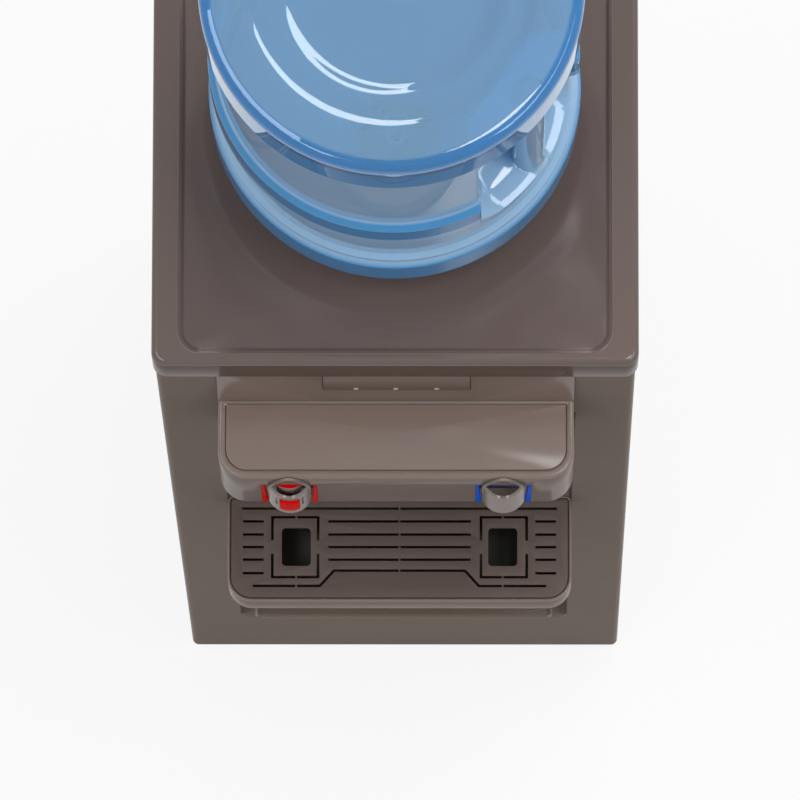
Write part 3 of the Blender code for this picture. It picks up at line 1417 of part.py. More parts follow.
def make_seat():
    """Seat funnel under the bottle, and the feed probe that opens its cap."""
    place = (0, AXIS_Y, TOP_Z)
    seat_rise = SEAT_Z - TOP_Z
    collar_low = seat_rise + GAP
    collar_inner = SEAT_HOLE_RADIUS - COLLAR_CLEAR
    socket = NECK_RADIUS + GAP + CAP_WALL + SOCKET_CLEAR
    floor = -NECK_END - GAP - CAP_WALL - SOCKET_FLOOR_CLEAR
    throat = cone(FUNNEL_THROAT) - SEAT_GAP
    bend = throat - (FUNNEL_THROAT - socket)
    bore = DOWNPIPE_RADIUS - DOWNPIPE_WALL
    profile = [
        (FUNNEL_FLANGE, collar_low),
        (FUNNEL_FLANGE, cone(FUNNEL_FLANGE) - SEAT_GAP),
        (FUNNEL_THROAT, throat),
        (socket, bend),
        (socket, floor),
        (bore, floor),
        (bore, floor - FUNNEL_WALL - DOWNPIPE_LENGTH),
        (DOWNPIPE_RADIUS, floor - FUNNEL_WALL - DOWNPIPE_LENGTH),
        (DOWNPIPE_RADIUS, floor - FUNNEL_WALL),
        (socket + FUNNEL_WALL, floor - FUNNEL_WALL),
        (socket + FUNNEL_WALL, bend - FUNNEL_WALL),
        (FUNNEL_THROAT + FUNNEL_WALL, throat - FUNNEL_WALL),
        (collar_inner, cone(collar_inner) - SEAT_GAP - FUNNEL_WALL),
        (collar_inner, collar_low),
    ]
    funnel = turned("seat_funnel", profile, place, BOTTLE_SIDES, closed=True)
    paint(smooth(funnel), "nose_plastic")
    low = floor + GAP
    profile = [
        (PROBE_BORE, low),
        (PROBE_FLANGE_RADIUS, low),
        (PROBE_FLANGE_RADIUS, low + PROBE_FLANGE),
        (PROBE_RADIUS, low + PROBE_FLANGE),
        (PROBE_RADIUS, low + PROBE_HEIGHT),
        (PROBE_BORE, low + PROBE_HEIGHT),
    ]
    probe = turned("feed_probe", profile, place, ROUND_SIDES, closed=True)
    paint(smooth(probe), "white_plastic")


def make_cold_tank():
    """Cold tank with its lid and baffle, in a foam jacket."""
    place = (0, AXIS_Y, 0)
    low = COLD_FOOT_Z
    high = COLD_TOP_Z
    inner = COLD_RADIUS - COLD_WALL
    stubs = ((COLD_OUT_X, ahead(COLD_OUT_AHEAD), 0), (FEED_X, ahead(FEED_AHEAD), 0))
    profile = [
        (0, low),
        (COLD_RADIUS, low),
        (COLD_RADIUS, high),
        (inner, high),
        (inner, low + COLD_WALL),
        (0, low + COLD_WALL),
    ]
    tank = turned("cold_tank", profile, place)
    for stub in stubs:
        unite(tank, rod("stub", STUB_RADIUS, stub, (COLD_STUB_Z, low + COLD_WALL / 2), SMALL_SIDES))
        span = (COLD_STUB_Z - OVERRUN, low + OVERRUN)
        cut(tank, rod("stub_bore", STUB_BORE, stub, span, SMALL_SIDES))
    paint(smooth(tank), "bare_steel")

    lid = rod("cold_tank_lid", FOAM_BORE - COLD_WALL, place, (high + GAP, high + GAP + COLD_LID))
    hole_span = (high - OVERRUN, high + COLD_LID + OVERRUN)
    cut(lid, rod("lid_hole", DOWNPIPE_RADIUS + HOSE_GAP, place, hole_span, BOTTLE_SIDES))
    paint(smooth(lid), "white_plastic")

    level = COLD_FOOT_Z + BAFFLE_RISE
    radius = inner - BAFFLE_CLEAR
    baffle = rod("baffle", radius, place, (level, level + BAFFLE_WALL))
    span = (low + COLD_WALL + GAP, level + BAFFLE_WALL / 2)
    unite(baffle, rod("baffle_tube", BAFFLE_TUBE_RADIUS, stubs[1], span, SMALL_SIDES))
    span = (low - OVERRUN, level + BAFFLE_WALL + OVERRUN)
    cut(baffle, rod("baffle_bore", BAFFLE_TUBE_BORE, stubs[1], span, SMALL_SIDES))
    paint(smooth(baffle), "white_plastic")

    foot = low - GAP - FOAM_FLOOR
    top = high + GAP + COLD_LID
    profile = [
        (0, foot),
        (FOAM_RADIUS, foot),
        (FOAM_RADIUS, top),
        (FOAM_BORE, top),
        (FOAM_BORE, foot + FOAM_FLOOR),
        (0, foot + FOAM_FLOOR),
    ]
    foam = turned("cold_tank_jacket", profile, place)
    span = (foot - OVERRUN, foot + FOAM_FLOOR + OVERRUN)
    for stub in stubs:
        cut(foam, rod("stub_hole", STUB_RADIUS + GAP, stub, span, SMALL_SIDES))
    lead = (EVAPORATOR_BEND, AXIS_Y + EVAPORATOR_RADIUS, 0)
    cut(foam, rod("lead_hole", PIPE_RADIUS + GAP, lead, span, SMALL_SIDES))
    reach = PIPE_RADIUS + PIPE_HOLE_CLEAR
    x_range = (-EVAPORATOR_BEND - reach, -EVAPORATOR_BEND + reach)
    y_range = (AXIS_Y + COLD_RADIUS, AXIS_Y + FOAM_RADIUS + OVERRUN)
    notch_low = EVAPORATOR_EXIT_Z - EVAPORATOR_BEND - PIPE_HOLE_CLEAR
    cut(foam, block("pipe_notch", x_range, y_range, (notch_low, top + OVERRUN)))
    paint(smooth(foam), "foam")


def make_evaporator():
    """Copper coil round the cold tank, with a lead at each end."""
    low = COLD_FOOT_Z + EVAPORATOR_RISE
    high = low + EVAPORATOR_TURNS * EVAPORATOR_PITCH
    lane = AXIS_Y + EVAPORATOR_RADIUS
    bend = EVAPORATOR_BEND
    points = [(bend, lane, SHELF_Z - SHELF_WALL - bend), (bend, lane, low - bend)]
    for step in range(1, 4):
        angle = math.radians(90 * step / 4)
        points.append((bend * math.cos(angle), lane, low - bend + bend * math.sin(angle)))
    total = EVAPORATOR_TURNS * EVAPORATOR_STEPS
    for step in range(total + 1):
        angle = math.radians(90) + 2 * math.pi * step / EVAPORATOR_STEPS
        across = EVAPORATOR_RADIUS * math.cos(angle)
        along = AXIS_Y + EVAPORATOR_RADIUS * math.sin(angle)
        points.append((across, along, low + (high - low) * step / total))
    for step in range(1, 5):
        angle = math.radians(90 * step / 4)
        points.append((-bend * math.sin(angle), lane, high + bend - bend * math.cos(angle)))
    level = EVAPORATOR_EXIT_Z
    for step in range(5):
        angle = math.radians(90 * step / 4)
        along = lane + bend - bend * math.cos(angle)
        points.append((-bend, along, level - bend + bend * math.sin(angle)))
    points.append((-bend, EVAPORATOR_EXIT_Y, level))
    paint(pipe("evaporator_coil", points, PIPE_RADIUS), "copper")


def make_tank_frame():
    """Folded steel frame: a shelf under the cold tank, and a cradle for the hot tank below it."""
    half = HALF_WIDTH - PANEL_WALL - GAP
    rear = REAR_Y - REAR_WALL - SHELF_REAR_CLEAR
    y_range = (behind(SHELF_FRONT), rear)
    frame = block("tank_frame", (-half, half), y_range, (SHELF_Z - SHELF_WALL, SHELF_Z))
    for side in (-1, 1):
        x_range = (side * (half - SHELF_WALL), side * half)
        z_range = (SHELF_Z - SHELF_FLANGE, SHELF_Z - SHELF_WALL / 2)
        unite(frame, block("fold", x_range, y_range, z_range))
    reach = HOT_FOAM_RADIUS + GAP
    y_range = (HOT_Y - CRADLE_HALF, HOT_Y + CRADLE_HALF)
    z_range = (HOT_SHELF_Z - SHELF_WALL, HOT_SHELF_Z)
    x_range = (HOT_X - reach - SHELF_WALL, HOT_X + reach + SHELF_WALL)
    cradle = block("cradle", x_range, y_range, z_range)
    for side in (-1, 1):
        x_range = (HOT_X + side * reach, HOT_X + side * (reach + SHELF_WALL))
        z_range = (HOT_SHELF_Z - SHELF_WALL / 2, SHELF_Z - SHELF_WALL / 2)
        unite(cradle, block("strap", x_range, y_range, z_range))
    unite(frame, cradle)
    hose = HOSE_RADIUS + SHELF_HOLE_CLEAR
    run = PIPE_RADIUS + SHELF_HOLE_CLEAR
    holes = [
        (COLD_OUT_X, ahead(COLD_OUT_AHEAD), hose),
        (FEED_X, ahead(FEED_AHEAD), hose),
        (-TAP_OFFSET, ahead(HOT_OUT_AHEAD), hose),
        (TAP_OFFSET, ahead(COLD_HOSE_AHEAD), hose),
        (EVAPORATOR_BEND, AXIS_Y + EVAPORATOR_RADIUS, run),
        (-EVAPORATOR_BEND, RISER_Y, run),
        (CONDENSER_X, RISER_Y, run),
    ]
    span = (SHELF_Z - SHELF_WALL - OVERRUN, SHELF_Z + OVERRUN)
    for x, y, radius in holes:
        cut(frame, rod("shelf_hole", radius, (x, y, 0), span, SMALL_SIDES))
    span = (HOT_SHELF_Z - SHELF_WALL - OVERRUN, HOT_SHELF_Z + OVERRUN)
    cut(frame, rod("drain_hole", hose, (HOT_X, HOT_Y, 0), span, SMALL_SIDES))
    paint(frame, "painted_steel")


def make_hot_tank():
    """Hot tank with its heating band and foam jacket."""
    place = (HOT_X, HOT_Y, 0)
    low = HOT_FOOT_Z
    high = HOT_TOP_Z
    tank = rod("hot_tank", HOT_RADIUS, place, (low, high), TANK_SIDES)
    inner_span = (low + HOT_WALL, high - HOT_WALL)
    cut(tank, rod("cavity", HOT_RADIUS - HOT_WALL, place, inner_span, TANK_SIDES))
    tops = ((-TAP_OFFSET, ahead(HOT_OUT_AHEAD), 0), (FEED_X, ahead(FEED_AHEAD), 0))
    for stub in tops:
        unite(tank, rod("stub", STUB_RADIUS, stub, (high - HOT_WALL / 2, HOT_STUB_Z), SMALL_SIDES))
        span = (high - OVERRUN, HOT_STUB_Z + OVERRUN)
        cut(tank, rod("stub_bore", STUB_BORE, stub, span, SMALL_SIDES))
    drain_end = low - DRAIN_HOSE_DROP
    unite(tank, rod("stub", STUB_RADIUS, place, (drain_end, low + HOT_WALL / 2), SMALL_SIDES))
    cut(tank, rod("stub_bore", STUB_BORE, place, (drain_end - OVERRUN, low + OVERRUN), SMALL_SIDES))
    paint(smooth(tank), "bare_steel")

    inner = HOT_RADIUS + GAP
    span = (low + BAND_RISE, low + BAND_RISE + BAND_HEIGHT)
    band = tube("heating_band", inner + BAND_THICK, inner, place, span, TANK_SIDES)
    paint(smooth(band), "bare_steel")

    foot = low - GAP - HOT_FOAM_FLOOR
    profile = [
        (0, foot),
        (HOT_FOAM_RADIUS, foot),
        (HOT_FOAM_RADIUS, high),
        (HOT_FOAM_BORE, high),
        (HOT_FOAM_BORE, foot + HOT_FOAM_FLOOR),
        (0, foot + HOT_FOAM_FLOOR),
    ]
    foam = turned("hot_tank_jacket", profile, place)
    span = (foot - OVERRUN, foot + HOT_FOAM_FLOOR + OVERRUN)
    cut(foam, rod("stub_hole", STUB_RADIUS + GAP, place, span, SMALL_SIDES))
    paint(smooth(foam), "foam")


def make_hoses():
    """Silicone hoses between the tanks, to the taps and to the drain."""
    tap_y = behind(BARREL_END) + HOSE_GAP
    level = BARREL_Z

    def riser(x, y, bottom):
        turn = y - tap_y - 2 * HOSE_RADIUS
        points = bottom + [(x, y, level - turn - HOSE_RADIUS)]
        for step in range(5):
            angle = math.radians(90 * step / 4)
            along = y - turn + turn * math.cos(angle)
            points.append((x, along, level - turn + turn * math.sin(angle)))
        return points + [(x, tap_y, level)]

    start = [(-TAP_OFFSET, ahead(HOT_OUT_AHEAD), HOT_STUB_Z + HOSE_GAP)]
    points = riser(-TAP_OFFSET, ahead(HOT_OUT_AHEAD), start)
    paint(pipe("hot_hose", points, HOSE_RADIUS), "silicone")

    dip = COLD_STUB_Z - HOSE_GAP - COLD_HOSE_DIP
    out_y = ahead(COLD_OUT_AHEAD)
    in_y = ahead(COLD_HOSE_AHEAD)
    stops = [
        (COLD_OUT_X, out_y, COLD_STUB_Z - 3 * HOSE_RADIUS),
        ((COLD_OUT_X + TAP_OFFSET) / 2, (out_y + in_y) / 2, dip),
        (TAP_OFFSET, in_y, COLD_STUB_Z - 3 * HOSE_RADIUS),
        (TAP_OFFSET, in_y, COLD_STUB_Z),
    ]
    start = [(COLD_OUT_X, out_y, COLD_STUB_Z - HOSE_GAP)] + smooth_route(stops, 3)
    points = riser(TAP_OFFSET, in_y, start)
    paint(pipe("cold_hose", points, HOSE_RADIUS), "silicone")

    feed_y = ahead(FEED_AHEAD)
    low = HOT_STUB_Z + HOSE_GAP
    high = COLD_STUB_Z - HOSE_GAP
    points = [(FEED_X, feed_y, low), (FEED_X, feed_y, (low + high) / 2), (FEED_X, feed_y, high)]
    paint(pipe("feed_hose", points, HOSE_RADIUS), "silicone")

    low = HOT_FOOT_Z - DRAIN_HOSE_DROP - HOSE_GAP
    level = DRAIN_Z
    end_y = REAR_Y - REAR_WALL - DRAIN_IN - HOSE_GAP
    turn = (low - level) / 2
    points = [(HOT_X, HOT_Y, low)]
    for step in range(6):
        angle = math.radians(90 * step / 5)
        along = HOT_Y + turn * (1 - math.cos(angle))
        points.append((HOT_X, along, level + turn * (1 - math.sin(angle))))
    points.append((HOT_X, end_y, level))
    paint(pipe("drain_hose", points, HOSE_RADIUS), "silicone")


def make_compressor():
    """Compressor on its plate and moulded-on rubber mounts, in the base pan."""
    floor = BASE_Z + PANEL_WALL + GAP + PAN_WALL
    centre_y = COMPRESSOR_Y
    low = COMPRESSOR_FOOT_Z
    x_range = (-COMPRESSOR_PLATE_HALF_X, COMPRESSOR_PLATE_HALF_X)
    y_range = (centre_y - COMPRESSOR_PLATE_HALF_Y, centre_y + COMPRESSOR_PLATE_HALF_Y)
    body = block("compressor", x_range, y_range, (low, low + COMPRESSOR_PLATE))
    for side in (-1, 1):
        for end in (-1, 1):
            x = side * (COMPRESSOR_PLATE_HALF_X - GROMMET_INSET)
            y = centre_y + end * (COMPRESSOR_PLATE_HALF_Y - GROMMET_INSET)
            span = (floor + GAP, low + COMPRESSOR_PLATE / 2)
            unite(body, rod("mount", GROMMET_RADIUS, (x, y, 0), span, SMALL_SIDES))
    shoulder = low + COMPRESSOR_HEIGHT - COMPRESSOR_DOME
    profile = [(0, low + COMPRESSOR_PLATE / 2), (COMPRESSOR_RADIUS, low + COMPRESSOR_PLATE / 2)]
    for step in range(5):
        angle = math.radians(90 * step / 4)
        radius = COMPRESSOR_RADIUS * math.cos(angle)
        if step == 4:
            radius = 0
        profile.append((radius, shoulder + COMPRESSOR_DOME * math.sin(angle)))
    unite(body, turned("shell", profile, (0, centre_y, 0), TANK_SIDES))
    for side in (-1, 1):
        port = (side * PORT_OFFSET, PORT_Y, 0)
        span = (shoulder, PORT_Z)
        unite(body, rod("port", PIPE_RADIUS, port, span, SMALL_SIDES))
    paint(smooth(body), "black_steel")


def make_pipes():
    """Suction, discharge and capillary pipes, and the filter drier."""
    port_end = PORT_Z + HOSE_GAP
    reach = RISER_Y - PORT_Y
    rise = PORT_RISE + 3 * PIPE_RADIUS

    def down_to_port(start, x, port_x):
        stops = start + [
            (x, RISER_Y, port_end + reach),
            (x, RISER_Y - PIPE_RADIUS, port_end + reach / 2),
            ((x + port_x) / 2, (RISER_Y + PORT_Y) / 2, port_end + rise),
            (port_x, PORT_Y, port_end + PORT_RISE),
        ]
        return smooth_route(stops, 3) + [(port_x, PORT_Y, port_end)]

    bend = EVAPORATOR_BEND
    level = EVAPORATOR_EXIT_Z
    x = -EVAPORATOR_BEND
    begin = EVAPORATOR_EXIT_Y + HOSE_GAP
    start = [
        (x, (begin + RISER_Y) / 2, level),
        (x, RISER_Y, level - bend),
        (x, RISER_Y, SHELF_Z),
    ]
    points = [(x, begin, level)] + down_to_port(start, x, -PORT_OFFSET)
    paint(pipe("suction_pipe", points, PIPE_RADIUS), "copper")

    level = CONDENSER_TOP_Z
    start = [
        (CONDENSER_X, (CONDENSER_END_Y + RISER_Y) / 2, level),
        (CONDENSER_X, RISER_Y, level - bend),
        (CONDENSER_X, RISER_Y, SHELF_Z),
    ]
    points = [(CONDENSER_X, CONDENSER_END_Y - HOSE_GAP, level)]
    points += down_to_port(start, CONDENSER_X, PORT_OFFSET)
    paint(pipe("discharge_pipe", points, PIPE_RADIUS), "copper")

    level = CONDENSER_FOOT_Z
    place = (-CONDENSER_X, CONDENSER_END_Y - HOSE_GAP, level)
    profile = [
        (0, -DRIER_LENGTH),
        (PIPE_RADIUS, -DRIER_LENGTH),
        (DRIER_RADIUS, DRIER_TAPER - DRIER_LENGTH),
        (DRIER_RADIUS, -DRIER_TAPER),
        (PIPE_RADIUS, 0),
        (0, 0),
    ]
    drier = turned("filter_drier", profile, place, SMALL_SIDES, "Y")

    lane = AXIS_Y + EVAPORATOR_RADIUS
    end_z = SHELF_Z - SHELF_WALL - bend - HOSE_GAP
    begin = place[1] - DRIER_LENGTH + CAPILLARY_RADIUS
    turn = 3 * DRIER_RADIUS
    stops = [
        (-CONDENSER_X, begin, level),
        (-CONDENSER_X, begin - DRIER_RADIUS, level),
        (-CONDENSER_X + turn, begin - turn, level + turn),
        (-CONDENSER_X / 2, (begin + lane) / 2, (level + end_z) / 2),
        (bend, lane, end_z - turn),
    ]
    points = smooth_route(stops, 3) + [(bend, lane, end_z)]
    unite(drier, meshed(pipe("capillary", points, CAPILLARY_RADIUS, 0)))
    paint(smooth(drier), "copper")


def make_condenser():
    """Condenser on the back: one bent tube on the two straps that it is welded to."""
    bend = CONDENSER_PITCH / 2
    turn = CONDENSER_TURN
    top = CONDENSER_TOP_Z
    low = CONDENSER_FOOT_Z
    points = [(CONDENSER_X, CONDENSER_END_Y, top)]
    for step in range(4):
        angle = math.radians(90 * step / 3)
        across = CONDENSER_HALF + turn * math.cos(angle)
        points.append((across, CONDENSER_Y - turn + turn * math.sin(angle), top))
    side = -1
    for run in range(CONDENSER_RUNS - 1):
        middle = top - run * CONDENSER_PITCH - bend
        for step in range(CONDENSER_BEND_STEPS + 1):
            angle = math.radians(90 - 180 * step / CONDENSER_BEND_STEPS)
            across = side * (CONDENSER_HALF - bend + bend * math.cos(angle))
            points.append((across, CONDENSER_Y, middle + bend * math.sin(angle)))
        side = -side
    for step in range(4):
        angle = math.radians(90 - 90 * step / 3)
        across = -CONDENSER_HALF - turn * math.cos(angle)
        points.append((across, CONDENSER_Y - turn + turn * math.sin(angle), low))
    points.append((-CONDENSER_X, CONDENSER_END_Y, low))
    condenser = meshed(pipe("condenser", points, CONDENSER_RADIUS))
    y_range = (REAR_Y + GAP, CONDENSER_Y - CONDENSER_RADIUS * STRAP_SHARE)
    for side in (-1, 1):
        x_range = tuple(sorted((side * STRAP_INNER, side * (STRAP_INNER + STRAP_WALL))))
        z_range = (low - STRAP_END, top + STRAP_END)
        unite(condenser, block("strap", x_range, y_range, z_range))
    paint(smooth(condenser), "black_steel")


def make_switch(label, side):
    """Rocker switch at the back: its body in the panel and the rocker in its pocket."""
    x = side * SWITCH_OFFSET
    z = SWITCH_Z
    half_x = SWITCH_WIDTH / 2
    half_z = SWITCH_LENGTH / 2
    y_range = (REAR_Y - REAR_WALL - SWITCH_BODY_DEPTH, REAR_Y + GAP + BEZEL_PROUD)
    body = block(f"{label}_switch_body", (x - half_x, x + half_x), y_range, (z - half_z, z + half_z))
    x_range = (x - half_x - BEZEL_RIM, x + half_x + BEZEL_RIM)
    z_range = (z - half_z - BEZEL_RIM, z + half_z + BEZEL_RIM)
    unite(body, block("bezel", x_range, (REAR_Y + GAP, y_range[1]), z_range))
    inner_x = half_x - SWITCH_WALL
    inner_z = half_z - SWITCH_WALL
    pocket_y = (REAR_Y - SWITCH_POCKET, REAR_Y + BEZEL_PROUD + OVERRUN)
    cut(body, block("pocket", (x - inner_x, x + inner_x), pocket_y, (z - inner_z, z + inner_z)))
    paint(body, "black_plastic")

    outline = [
        (ROCKER_END_REACH, -ROCKER_END_HALF),
        (ROCKER_MIDDLE_REACH, 0),
        (ROCKER_END_REACH, ROCKER_END_HALF),
    ]
    outline += arc((0, 0), ROCKER_RADIUS, 90, 270, 8)
    tilt = math.radians(-ROCKER_TILT)
    turned_outline = []
    for y, z_place in outline:
        across = y * math.cos(tilt) - z_place * math.sin(tilt)
        along = y * math.sin(tilt) + z_place * math.cos(tilt)
        turned_outline.append((across, along))
    reach = inner_x - GAP
    rocker = prism(f"{label}_switch_rocker", turned_outline, "X", (-reach, reach))
    rocker.location = (x, REAR_Y - ROCKER_DEPTH, z)
    paint(rocker, "red_plastic" if label == "hot" else "blue_plastic")


def make_drain():
    """Drain spout through the rear panel, with its cap."""
    place = (HOT_X, REAR_Y, DRAIN_Z)
    spout_span = (-REAR_WALL - DRAIN_IN, DRAIN_OUT)
    spout = rod("drain_spout", DRAIN_RADIUS, place, spout_span, ROUND_SIDES, "Y")
    flange_span = (GAP, GAP + DRAIN_FLANGE)
    unite(spout, rod("flange", DRAIN_FLANGE_RADIUS, place, flange_span, ROUND_SIDES, "Y"))
    through = (spout_span[0] - OVERRUN, spout_span[1] + OVERRUN)
    cut(spout, rod("bore", DRAIN_BORE, place, through, SMALL_SIDES, "Y"))
    paint(smooth(spout), "black_plastic")
    start = 2 * GAP + DRAIN_FLANGE
    end = DRAIN_OUT + GAP
    inner = DRAIN_RADIUS + GAP
    cap = rod("drain_cap", inner + DRAIN_CAP_WALL, place, (start, end + DRAIN_CAP_WALL), ROUND_SIDES, "Y")
    cut(cap, rod("hollow", inner, place, (start - OVERRUN, end), ROUND_SIDES, "Y"))
    set_origin(cap, place)
    paint(smooth(cap), "black_plastic")


def make_gland():
    """Gland where the mains lead would pass through the rear panel."""
    place = (GLAND_X, REAR_Y, GLAND_Z)
    span = (-REAR_WALL - GLAND_IN, GLAND_OUT)
    gland = rod("cord_gland", GLAND_RADIUS, place, span, ROUND_SIDES, "Y")
    flange_span = (GAP, GAP + GLAND_FLANGE)
    unite(gland, rod("flange", GLAND_FLANGE_RADIUS, place, flange_span, ROUND_SIDES, "Y"))
    cut(gland, rod("bore", GLAND_BORE, place, (span[0] - OVERRUN, span[1] + OVERRUN), SMALL_SIDES, "Y"))
    paint(smooth(gland), "black_plastic")


def main():
    """Build the whole dispenser."""
    for item in list(bpy.data.objects):
        bpy.data.objects.remove(item, do_unlink=True)
    make_cover()
    make_front_panel()
    make_side_panel("side_panel_left", -1)
    make_side_panel("side_panel_right", 1)
    make_rear_panel()
    make_base_pan()
    make_feet()
    make_nose()
    make_top_plate()
    make_display()
    for label, side, colour in (("hot", -1, "red_plastic"), ("cold", 1, "blue_plastic")):
        make_tap(label, side, colour)
        make_lever(label, side)
        make_switch(label, side)
    make_safety_button()
    make_tray()
    make_grid()
    make_holder()
    make_bottle()
    make_seat()
    make_cold_tank()
    make_evaporator()
    make_tank_frame()
    make_hot_tank()
    make_hoses()
    make_compressor()
    make_pipes()
    make_condenser()
    make_drain()
    make_gland()


main()
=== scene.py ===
# %% [markdown]
# # A floor-standing water dispenser, dressed for its portrait
#
# The imported model is a fixed frame: every solid is already in its place, in metres, with the
# floor at z = 0 and the taps facing -Y. This file adds what the solids leave out, which is the
# finish of each surface and the soft roundings that moulds and presses give to real parts.

# %% Load the frame, and read boxes from it
import json
import math

import bmesh
import bpy
import numpy as np
from mathutils import Matrix, Vector


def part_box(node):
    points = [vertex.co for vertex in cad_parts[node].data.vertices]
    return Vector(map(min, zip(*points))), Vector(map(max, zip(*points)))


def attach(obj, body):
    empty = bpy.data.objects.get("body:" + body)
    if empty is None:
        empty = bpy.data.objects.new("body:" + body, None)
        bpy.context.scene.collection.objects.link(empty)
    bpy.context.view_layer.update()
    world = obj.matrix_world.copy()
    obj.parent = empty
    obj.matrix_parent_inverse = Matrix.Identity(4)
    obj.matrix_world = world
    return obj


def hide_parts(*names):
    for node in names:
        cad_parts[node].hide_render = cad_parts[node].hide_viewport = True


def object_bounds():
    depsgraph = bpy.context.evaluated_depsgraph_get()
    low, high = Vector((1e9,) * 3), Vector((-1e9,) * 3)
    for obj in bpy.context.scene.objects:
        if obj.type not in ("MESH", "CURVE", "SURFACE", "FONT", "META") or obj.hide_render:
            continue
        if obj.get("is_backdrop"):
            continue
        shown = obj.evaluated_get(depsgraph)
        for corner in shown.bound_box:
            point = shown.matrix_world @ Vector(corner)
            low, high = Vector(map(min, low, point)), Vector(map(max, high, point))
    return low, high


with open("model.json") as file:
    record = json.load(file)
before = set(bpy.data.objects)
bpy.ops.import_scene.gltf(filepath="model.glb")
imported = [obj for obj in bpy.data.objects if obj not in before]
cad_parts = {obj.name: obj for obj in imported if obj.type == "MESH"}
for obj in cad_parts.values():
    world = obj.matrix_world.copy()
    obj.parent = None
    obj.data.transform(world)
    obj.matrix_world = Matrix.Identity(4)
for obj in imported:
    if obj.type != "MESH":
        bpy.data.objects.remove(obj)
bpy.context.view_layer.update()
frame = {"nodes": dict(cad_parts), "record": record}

# %% [markdown]
# The photograph looks steeply down from far away through a long lens. A camera is only a place,
# a direction and a focal length, so it is written as exactly those: how steep the view is, how
# far it is turned, how far it is rolled, and where the lens stands.

# %% The camera
STEEP, TURN, ROLL = 1.3575319, -0.0347547, -0.0334731
FOCAL_PIXELS, PHOTO_WIDTH, SENSOR, FARTHEST = 10632.647, 800, 36.0, 60.0
FRONT, PANEL_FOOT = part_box("front_panel")[0].yz
LENS_PLACE = Vector((0.0584955, FRONT - 1.6063175, PANEL_FOOT + 8.3454695))


def put(name, data):
    """New object that shows the data, in the scene."""
    item = bpy.data.objects.new(name, data)
    bpy.context.scene.collection.objects.link(item)
    return item


def aim():
    """Turn of the camera: forward = (sin t cos s, cos t cos s, -sin s), then roll about it."""
    flat = math.cos(STEEP)
    forward = Vector((math.sin(TURN) * flat, math.cos(TURN) * flat, -math.sin(STEEP)))
    right = Vector((math.cos(TURN), -math.sin(TURN), 0))
    upward = right.cross(forward)
    across = math.cos(ROLL) * right + math.sin(ROLL) * upward
    along = math.cos(ROLL) * upward - math.sin(ROLL) * right
    return Matrix((across, along, -forward)).transposed().to_4x4()


lens = bpy.data.cameras.new("portrait_lens")
lens.sensor_width = SENSOR
lens.lens = FOCAL_PIXELS / PHOTO_WIDTH * SENSOR
lens.clip_end = FARTHEST
camera = put("portrait_camera", lens)
camera.matrix_world = Matrix.Translation(LENS_PLACE) @ aim()
bpy.context.scene.camera = camera
bpy.context.scene.view_settings.view_transform = "Standard"
print("lens", round(lens.lens, 1), "mm, looking down", round(math.degrees(STEEP), 1))

# %% [markdown]
# Small helpers carry all the colour work. Colours are written as the hex values that a paint
# chart gives, and a shader wants them in linear light, so one function converts them. Another
# sets the inputs of a node, and links whichever of them it is handed as a socket.

# %% Colour and node helpers


def linear(code):
    """Linear light of a hex colour: c / 12.92 below 0.04045, else ((c + 0.055) / 1.055) ** 2.4."""
    value = np.array([int(code[at:at + 2], 16) for at in (0, 2, 4)]) / 255
    curve = np.where(value <= 0.04045, value / 12.92, ((value + 0.055) / 1.055) ** 2.4)
    return (*curve.tolist(), 1.0)


def feed(node, **inputs):
    """Set inputs by name, or by number as i0: a value is written, a socket is linked."""
    for key, value in inputs.items():
        by_number = key[1:].isdigit()
        socket = node.inputs[int(key[1:]) if by_number else key.replace("_", " ")]
        if isinstance(value, bpy.types.NodeSocket):
            node.id_data.links.new(value, socket)
        else:
            socket.default_value = value
    return node


def add(tree, kind, settings=None, **inputs):
    """Add a node with its settings and its inputs."""
    node = tree.nodes.new(kind)
    for key, value in (settings or {}).items():
        setattr(node, key, value)
    return feed(node, **inputs)

# %% [markdown]
# Moulded parts are mostly walls that run round a plan, with a profile that says how each wall
# rises and turns over. So the shapes here are grids of points: one direction follows the profile,
# the other goes round. A grid becomes a mesh in one step, and its seams are welded shut.

# %% Grids that become meshes


def surface(name, *grids, loop=False, ring=True):
    """One mesh of one or more grids (rows, columns, 3): quads join (r, c) (r, c+1) (r+1, c+1)
    (r+1, c). Ring closes the columns, loop closes the rows, and shared points are welded."""
    shape = bmesh.new()
    for grid in grids:
        grid = np.asarray(grid, float)
        index = np.arange(grid.shape[0] * grid.shape[1]).reshape(grid.shape[:2])
        index = np.concatenate([index, index[:1]]) if loop else index
        index = np.concatenate([index, index[:, :1]], 1) if ring else index
        quads = np.stack([index[:-1, :-1], index[:-1, 1:], index[1:, 1:], index[1:, :-1]], -1)
        part = bpy.data.meshes.new(name)
        part.from_pydata(grid.reshape(-1, 3).tolist(), [], quads.reshape(-1, 4).tolist())
        shape.from_mesh(part)
        bpy.data.meshes.remove(part)
    bmesh.ops.remove_doubles(shape, verts=shape.verts, dist=1e-6)
    bmesh.ops.dissolve_degenerate(shape, edges=shape.edges, dist=1e-7)
    bmesh.ops.recalc_face_normals(shape, faces=shape.faces)
    mesh = bpy.data.meshes.new(name)
    shape.to_mesh(mesh)
    shape.free()
    return put(name, mesh)


def walled(name, outer, inner):
    """Closed sheet between two grids of one size: out along one, back along the other, and a
    strip at each end of the columns."""
    around = np.concatenate([outer, inner[::-1], outer[:1]])
    ends = [np.stack([outer[:, at], inner[:, at]], 1) for at in (0, -1)]
    return surface(name, around, *ends, ring=False)


def thick(name, grid, wall):
    """Sheet with a wall: the grid, and the grid moved by wall along its normals n, which are the
    cross product of its two directions."""
    normal = np.cross(np.gradient(grid, axis=0), np.gradient(grid, axis=1))
    return walled(name, grid, grid + wall * normal / np.linalg.norm(normal, axis=-1, keepdims=True))


